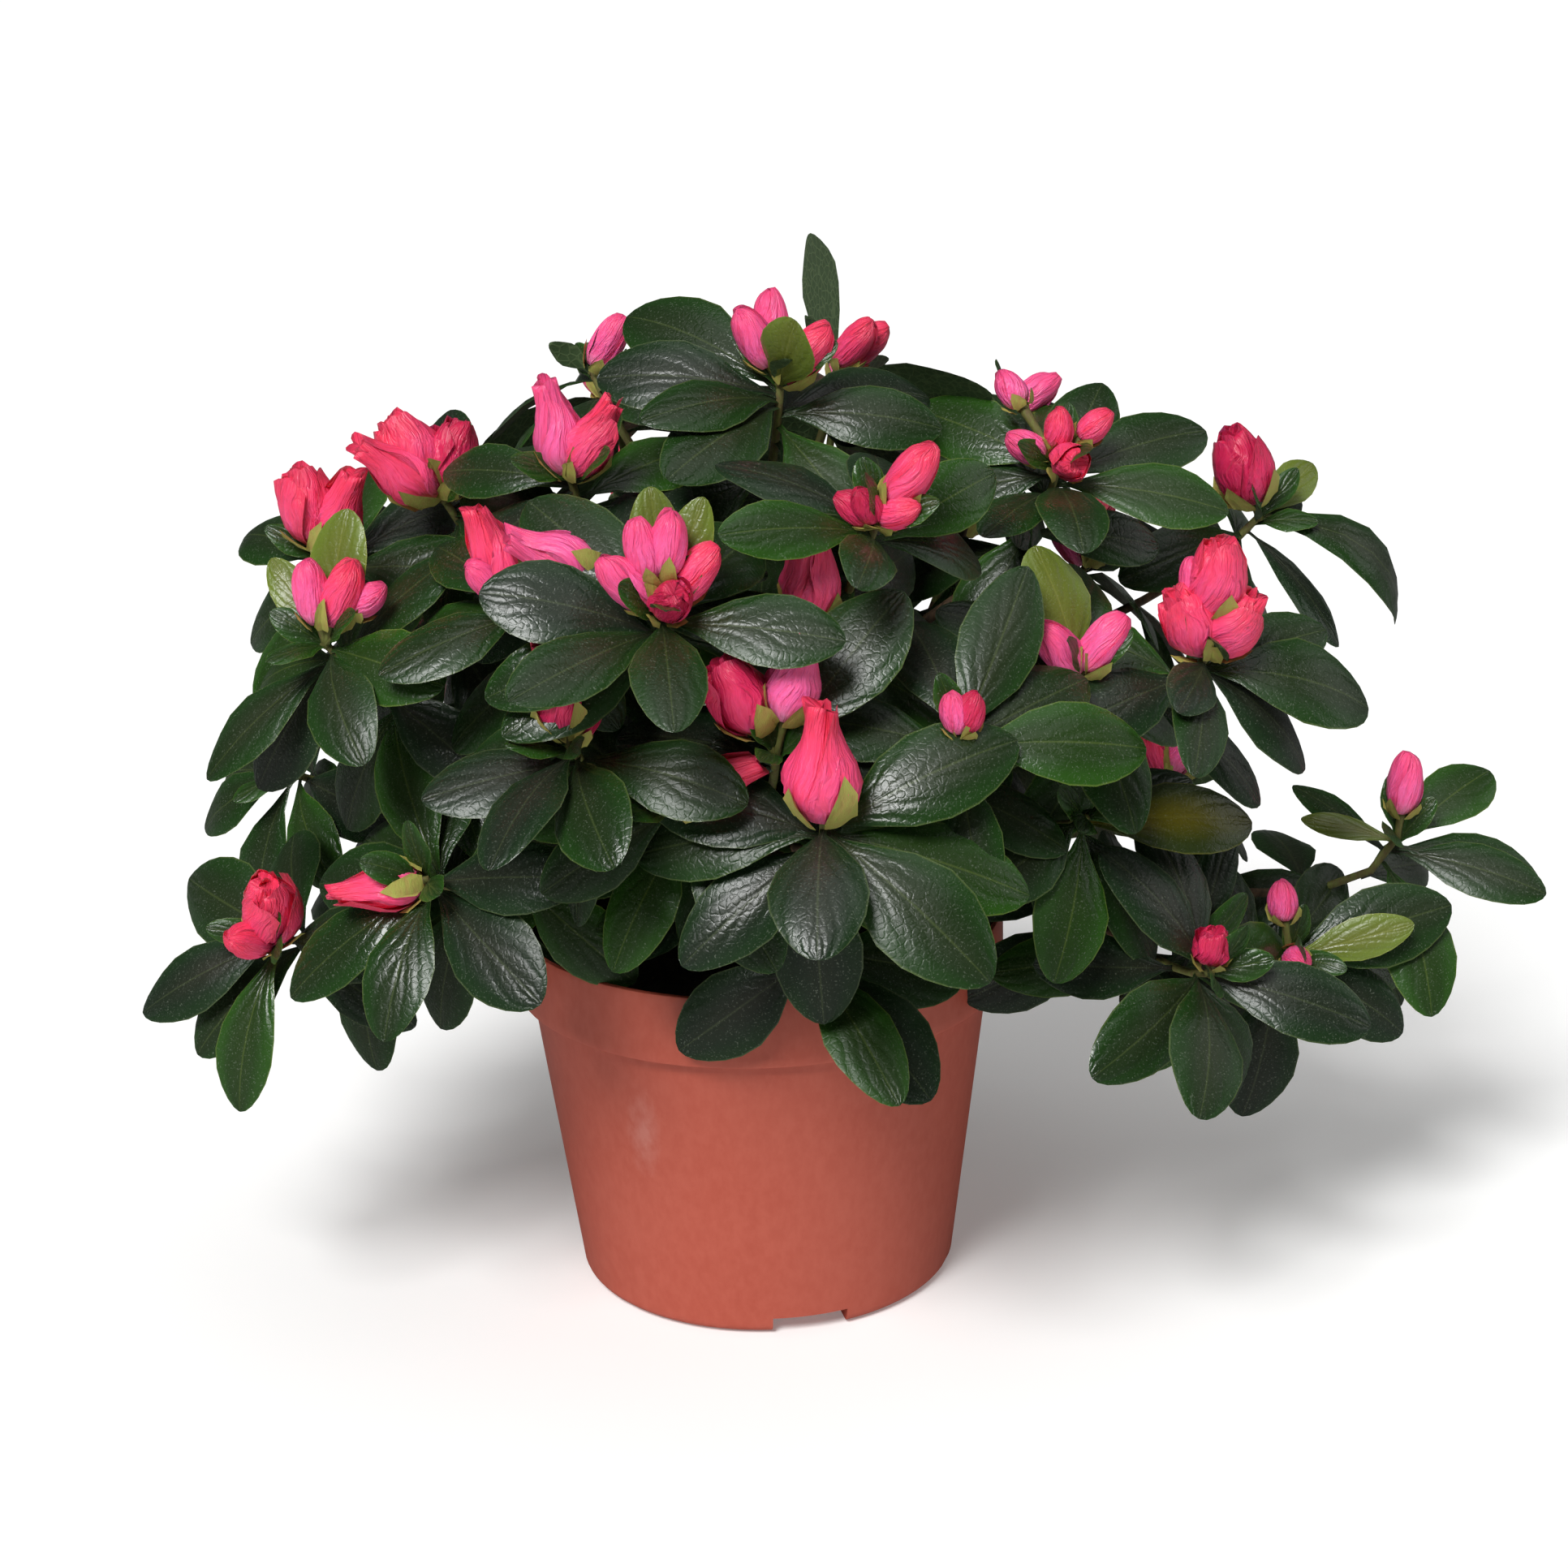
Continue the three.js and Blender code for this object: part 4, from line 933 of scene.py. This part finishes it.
def budBodies(parts):
    # A closed body: h is the share of its height and s the share of the way across a petal. The
    # radius is the profile times 1 + step (0.5 - s), so each petal's free edge (s = 0) stands a
    # step off its neighbour. Folds are sines of s and h; the frill grows with the sixth power of
    # h, and the edges wind round by spiral h and swing by a sine of the height.
    g = budGrid
    take = partial(listed, parts, axes=2)
    h = np.linspace(0, 1, g["bodyRows"])[:, None]
    s = np.tile(g["lapShares"], g["laps"])[None]
    petalNumber = np.repeat(np.arange(g["laps"]), len(g["lapShares"]))[None]
    seed = take("seed") + 2 * petalNumber
    swing = 3 * take("folds") * np.sin(8 * h + seed) * (1 - s) ** 2
    angle = take("turn") + (petalNumber + s) * 2 * np.pi / g["laps"] + take("spiral") * h + swing
    folds = take("folds") * np.sin(np.pi * np.minimum(1.4 * h, 1)) * waves(g["foldWaves"], s, h, seed)
    frill = take("frill") * h ** 6 * waves(g["frillWaves"], s, h, seed)
    radius = take("radius") * (budRadius(parts, h[None]) * (1 + take("step") * (0.5 - s)) + folds + frill)
    lift = take("length") * (h + 0.2 * frill - 0.05 * h ** 4 * (1 + np.sin(seed)))
    axis, spoke = spokes(parts, angle)
    root = listed(parts, "root")
    wall = root[:, None, None] + spoke * radius[..., None] + axis * lift[..., None]
    middle = root + axis[:, 0, 0] * (take("length") * (1 - take("hollow")))[:, 0]
    rings, sides = wall.shape[1:3]
    points = np.concatenate([wall.reshape(len(parts), -1, 3), root[:, None], middle[:, None]], axis=1)
    faces = ringFaces(rings, sides, len(parts))
    uv = np.stack(np.broadcast_arrays(s, h), axis=-1).reshape(-1, 2)
    uv = np.tile(np.concatenate([uv, [[0.5, 0], [0.5, 1]]]), (len(parts), 1))
    crisp = np.broadcast_to((s == 0) | (s == 1), (rings, sides)).ravel()
    slots = np.repeat(listed(parts, "slot"), len(faces) // len(parts))
    return points.reshape(-1, 3), faces, slots, uv, np.tile(np.append(crisp, [False, False]), len(parts))


def cupSheets(parts, rows, columns):
    # A loose petal or scale wraps an axis: u across (-1 to 1) is turned into an angle round it
    # and v (0 to 1) into a height, which is less by the point times |u|^blunt at the sides. The
    # radius is the profile, a little more on one side than on the other, plus a flare that grows
    # with the fifth power of v and a ruffle that grows with its cube.
    take = partial(listed, parts, axes=2)
    v = np.linspace(0, 1, rows)[:, None]
    u = np.linspace(-1, 1, columns)[None]
    seed = take("seed")
    height = v * take("height") * (1 - take("point") * np.abs(u) ** take("blunt"))
    ruffle = take("ruffle") * v ** 3 * waves(budGrid["ruffleWaves"], u, v, seed)
    reach = budRadius(parts, height) * (1 + 0.07 * u) + take("flare") * v ** 5 + ruffle
    angle = take("turn") + np.radians(take("span")) / 2 * u + take("spiral") * v
    axis, spoke = spokes(parts, angle)
    lift = take("length") * (height + 0.2 * ruffle)
    uv = np.stack(np.broadcast_arrays((u + 1) / 2, v), axis=-1)
    return take("root") + spoke * (take("radius") * reach)[..., None] + axis * lift[..., None], uv


def makeSheets(name, parts, grid, materials):
    sheets, uv = cupSheets(parts, *grid)
    points, faces, _, uvs, rim = thickSheets(sheets, budGrid["thickness"], uv)
    slots = np.repeat(listed(parts, "slot"), len(faces) // len(parts))
    return makePiece(name, points, faces, materials, slots, uvs, rim)


def budParts(shoot, k, entry):
    # the body of one bud, its loose petals, its scales and the two ends of its stalk
    kind, bearing, rise, stalk, tone = entry + (0, None)[len(entry) - 3:]
    v, w = budKinds[kind], budPlaces
    seed = 1000 + 10 * shoot["number"] + k
    size = spread(w["size"], seed)
    along = direction(bearing, rise)
    foot = shoot["end"] + along * (stalk + w["root"])
    radius = v["radius"] * size
    body = {
        **v, "root": foot, "along": along, "length": (v["length"] - w["root"]) * size,
        "seed": w["fullTurn"] * chance(seed + 2), "turn": w["fullTurn"] * chance(seed + 1),
        "slot": v["tones"][int(chance(seed + 3) * 3)] if tone is None else tone}
    loose, scales = [], []
    for p in range(v["petals"]):
        layer = (p + 1) / v["petals"]
        loose.append({
            **body, "radius": radius * (w["petalRadius"][0] + w["petalRadius"][1] * layer),
            "seed": w["fullTurn"] * chance(seed + p * 7),
            "height": w["petalHeight"][0] + w["petalHeight"][1] * layer * chance(seed + p * 5),
            "point": 0.26, "blunt": 4, "flare": 0.3 * v["frill"] * layer, "ruffle": 0.5 * v["frill"],
            "span": spread(w["petalSpan"], seed + p), "turn": body["turn"] + p * w["petalTurn"]})
    for p in range(budGrid["scales"]):
        scales.append({
            **body, "root": foot - along * w["scaleRoot"], "radius": radius * 1.06, "seed": p,
            "point": 0.8, "blunt": 1.3, "height": spread(w["scaleHeight"], seed + p * 3),
            "flare": 0.1, "ruffle": 0.02, "spiral": 0, "span": 66,
            "turn": p * w["scaleTurn"] + chance(seed), "slot": 0})
    body["radius"] = radius * w["snug"][v["petals"] > 3]
    return body, loose, scales, (shoot["end"] - along, foot + along * 2)


def makeBuds():
    g, w = budGrid, budPlaces
    found = [budParts(shoot, k, entry) for shoot, _ in allShoots for k, entry in enumerate(shoot["buds"])]
    bodies, looseSets, scaleSets, ends = zip(*found)
    loose, scales = (sum(sets, []) for sets in (looseSets, scaleSets))
    points, faces, slots, uv, crisp = budBodies(bodies)
    pieces = [
        makePiece("flowerBuds", points, faces, petals, slots, uv, crisp),
        makeSheets("loosePetals", loose, g["petalGrid"], petals),
        makeSheets("budScales", scales, g["scaleGrid"], [budScale])]
    ends = np.array(ends)
    rings = len(w["stalkRings"])
    paths = ends[:, :1] + (ends[:, 1:] - ends[:, :1]) * np.linspace(0, 1, rings)[None, :, None]
    radii = np.broadcast_to(np.array(w["stalkRings"])[None, :, None], (len(paths), rings, w["stalkSides"]))
    points, faces = tubes(paths, radii)
    pieces.append(makePiece("flowerStalks", points, faces, [greenStem]))
    for piece in pieces:
        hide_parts(*foliageNodes["front"], *foliageNodes["rear"])
    print(len(bodies), "buds with", len(loose), "loose petals")


makeBuds()


potValues = {
    "height": 100.5, "rimRadius": 65, "bandHeight": 19, "shoulderRadius": 61, "baseRadius": 50.6, "wall": 1.4,
    "corner": 3, "channelWidth": 20, "channelHeight": 4.5, "channelInner": 15, "channelBearing": 12,
    "channels": 3, "strip": 0.3, "inside": 60,
}
potPaint = {
    "plastic": ("#AC4E3C", "#B25543"), "dust": "#B75F4E", "rub": "#C9A79F", "grain": 2.5, "clouds": 40,
    "rubPlace": (-0.031, -0.048, 0.058), "rubSize": (0.006, 0.02, 0.019),  # in metres
    "flow": (1, 1, 0.6), "toneBand": (0.35, 0.65), "dustBand": (0.45, 0.8, 0, 0.3),
    "rubBand": (0.12, 0.5, 0, 0.2), "glossBand": (0, 1, 0.42, 0.58),
    "relief": 0.1, "reliefStrength": 0.08, "bend": 1.49, "shine": 0.35,
}


def potPlastic(name):
    # injection-moulded polypropylene in a terracotta colour: satin, a little uneven in tone along
    # the flow from foot to rim, with fine scuffs and a pale rub mark on one side, a soft ball
    # 12 mm across and 38 mm high, broken up by streaks
    p = potPaint
    material, tree, shader, body = newMaterial(name)
    mottle = noise(tree, stretch(tree, body, p["flow"]), p["grain"], 4, 0.6).outputs[0]
    cloud = noise(tree, body, p["clouds"], 3).outputs[0]
    rub = addNode(
        tree, "Mapping", {"vector_type": "TEXTURE"},
        {"Location": p["rubPlace"], "Scale": p["rubSize"], 0: body}).outputs[0]
    ball = addNode(tree, "TexGradient", {"gradient_type": "SPHERICAL"}, {0: rub}).outputs["Fac"]
    mark = ramp(tree, maths(tree, "MULTIPLY", ball, mottle), *p["rubBand"])
    colour = colourMix(tree, ramp(tree, mottle, *p["toneBand"]), *p["plastic"])
    colour = colourMix(tree, ramp(tree, cloud, *p["dustBand"]), colour, p["dust"])
    feed(tree, shader, {
        "Base Color": colourMix(tree, mark, colour, p["rub"]),
        "Roughness": ramp(tree, cloud, *p["glossBand"]),
        "Normal": bump(tree, mottle, p["relief"], p["reliefStrength"]),
        "IOR": p["bend"], "Specular IOR Level": p["shine"]})
    return material


def potWall():
    # the whole section of the pot as (radius, height), from the middle of its underside up the
    # outside, over the lip and down the inside
    v = potValues
    corner = [(v["baseRadius"] - v["corner"] * (1 - math.sin(a)), v["corner"] * (1 - math.cos(a)))
              for a in np.radians([0, 15, 30, 45, 60, 75, 90])]
    step, top, rim, shoulder = v["height"] - v["bandHeight"], v["height"], v["rimRadius"], v["shoulderRadius"]
    inRim, inShoulder = rim - v["wall"], shoulder - v["wall"]
    slope = lambda z: (z - v["corner"]) / (step - v["corner"])
    wallAt = lambda z: v["baseRadius"] + (shoulder - v["baseRadius"]) * slope(z)
    edges = (v["channelInner"] - 0.01, v["channelInner"] + 0.01)
    rows = [(radius, 0) for radius in (2, *edges, 25, 36)] + corner
    rows += [(wallAt(z), z) for z in (4.2, 4.49, 4.51, 4.8, 5.1, 20, 40, 60, step - 1.2, step - 0.4)]
    rows += [(shoulder + 0.2, step - 0.1), (rim - 0.9, step + 0.1), (rim - 0.25, step + 0.3)]
    rows.append((rim, step + 1.0))
    rows += [(rim, z) for z in (step + 3, step + 9, top - 2, top - 0.8)]
    rows += [(rim - 0.12, top - 0.25), (rim - 0.45, top), (inRim + 0.3, top), (inRim, top - 0.4)]
    rows += [(inRim, step + 2), (inShoulder, step), (inShoulder - 2, v["inside"])]
    return np.array(rows)


def makePot():
    # a section turned about Z. Three channels cross the underside: w goes across one sector from
    # -1 to 1, and inside the strip it measures off a straight strip, so that the angle is the
    # arc sine of that offset over the radius, and heights below the channel's roof are lifted to it
    v = potValues
    rows = potWall()
    inside = np.linspace(-v["strip"], v["strip"], 9)
    outside = np.linspace(v["strip"], 1, 13)
    w = np.concatenate([-outside[::-1][1:], inside, outside[:-1]])
    lifted = np.repeat([False, True, False], [12, 9, 12])
    radius, height = rows[:, 0][:, None], rows[:, 1][:, None]
    halfAngle = np.arcsin(np.minimum(v["channelWidth"] / 2 / np.maximum(radius, v["channelInner"]), 1))
    onStrip = np.arcsin(np.clip(w / v["strip"] * np.sin(halfAngle), -1, 1))
    sector = np.pi / v["channels"]
    beside = halfAngle + (np.abs(w) - v["strip"]) / (1 - v["strip"]) * (sector - halfAngle)
    angle = np.where(np.abs(w) <= v["strip"], onStrip, np.sign(w) * beside)
    bearings = np.radians(v["channelBearing"]) + np.arange(v["channels"]) * 2 * sector
    turned = (bearings[:, None, None] + angle[None]).transpose(1, 0, 2).reshape(len(rows), -1)
    lifted = np.tile(lifted, v["channels"])[None]
    roof = (height < v["channelHeight"]) & (radius > v["channelInner"]) & lifted
    z = np.where(roof, v["channelHeight"], np.broadcast_to(height, turned.shape))
    points = np.stack([radius * np.sin(turned), -radius * np.cos(turned), z], axis=-1).reshape(-1, 3)
    points = np.concatenate([points, [[0, 0, 0], [0, 0, v["inside"]]]])
    faces = ringFaces(len(rows), turned.shape[1])
    plastic = potPlastic("mouldedPolypropylene")
    piece = makePiece("plasticPot", points, faces, [plastic], crispAngle=40)
    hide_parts("pot")


peatValues = {
    "edge": 63.0, "level": 90, "crown": 92.5, "lumps": 1.1, "sink": 0.4, "depth": 61,
    "rings": 40, "sides": 120,
    "side": ((0.9, 61), (0.93, 80.6), (1.0, 83.5)),  # shares of the edge and heights, inside the wall
    "waves": ((0.31, 0.22, 1, 0.5), (-0.45, 0.6, 2, 0.35), (1.1, -0.7, 3, 0.3),
              (-0.9, -1.4, 5, 0.25), (2.1, 1.7, 8, 0.2)),  # along X, along Y, start, size
    "ground": ("#0E0A08", "#33241A"), "fibre": "#6B5238", "crumbs": 3, "fibres": 4, "relief": 1.2,
    "reliefStrength": 1, "crumbBand": (0.4, 0.75), "fibreBand": (0.12, 0.06, 0, 0.7), "gloss": 0.9,
}


def peat(name):
    # moist peat: almost black, crumbly, with a few brown fibres and pale grains
    p = peatValues
    material, tree, shader, body = newMaterial(name)
    crumbs = noise(tree, body, p["crumbs"], 8, 0.75).outputs[0]
    fibre = addNode(tree, "TexVoronoi", inputs={"Scale": 1 / (p["fibres"] * mm), "Vector": body}).outputs[0]
    colour = colourMix(tree, ramp(tree, crumbs, *p["crumbBand"]), *p["ground"])
    feed(tree, shader, {
        "Base Color": colourMix(tree, ramp(tree, fibre, *p["fibreBand"]), colour, p["fibre"]),
        "Normal": bump(tree, crumbs, p["relief"], p["reliefStrength"]), "Roughness": p["gloss"]})
    return material


def makePeat():
    # a disc of rings whose height is its crown less the square of the radius, plus lumps made of
    # sines at five scales; its edge turns down inside the pot and a flat underside closes it
    v = peatValues
    rings = np.linspace(0.02, 1, v["rings"])[:, None]
    turn = np.linspace(0, 2 * np.pi, v["sides"], endpoint=False)[None]
    x, y = v["edge"] * rings * np.sin(turn), -v["edge"] * rings * np.cos(turn)
    lumps = waves(v["waves"], x, y, 1) * v["lumps"] * (1 - rings ** 8)
    z = v["crown"] - (v["crown"] - v["level"]) * rings ** 2 + lumps - v["sink"]
    top = np.stack([x, y, z], axis=-1)[::-1]
    side = np.stack([
        np.stack([x[-1] * share, y[-1] * share, np.full_like(x[-1], level)], axis=-1)
        for share, level in v["side"]])
    points = np.concatenate([side, top]).reshape(-1, 3)
    points = np.concatenate([points, [[0, 0, v["depth"]], [0, 0, v["crown"]]]])
    faces = ringFaces(len(side) + len(top), v["sides"])
    piece = makePiece("peat", points, faces, [peat("moistPeat")], crispAngle=50)
    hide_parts("soil")


makePot()
makePeat()
print("pot and peat are made")


def makeFloor(v):
    # a plain painted studio floor: pale and matt, with a painted glow that keeps its shadow light,
    # and painted shade that makes it dimmer where glossy leaves mirror it, as if black cloth lay outside the
    # picture
    material, tree, shader, _ = newMaterial("paintedFloor")
    mirrored = addNode(tree, "LightPath").outputs["Is Glossy Ray"]
    dim = maths(tree, "MULTIPLY", mirrored, 1 - v["floorMirrored"])
    feed(tree, shader, {
        "Base Color": colourMix(tree, dim, v["floor"], v["mirroredFloorShade"]), "Roughness": v["floorRoughness"],
        "Emission Color": (1, 1, 1, 1), "Emission Strength": ramp(tree, mirrored, 0, 1, v["floorGlow"], 0)})
    mesh = bpy.data.meshes.new("floor")
    s, low = v["floorSize"] * mm / 2, -v["floorDrop"] * mm
    mesh.from_pydata([(-s, -s, low), (s, -s, low), (s, s, low), (-s, s, low)], [], [(0, 1, 2, 3)])
    mesh.materials.append(material)
    floor = newObject("floor", mesh)


makeFloor(lightValues)
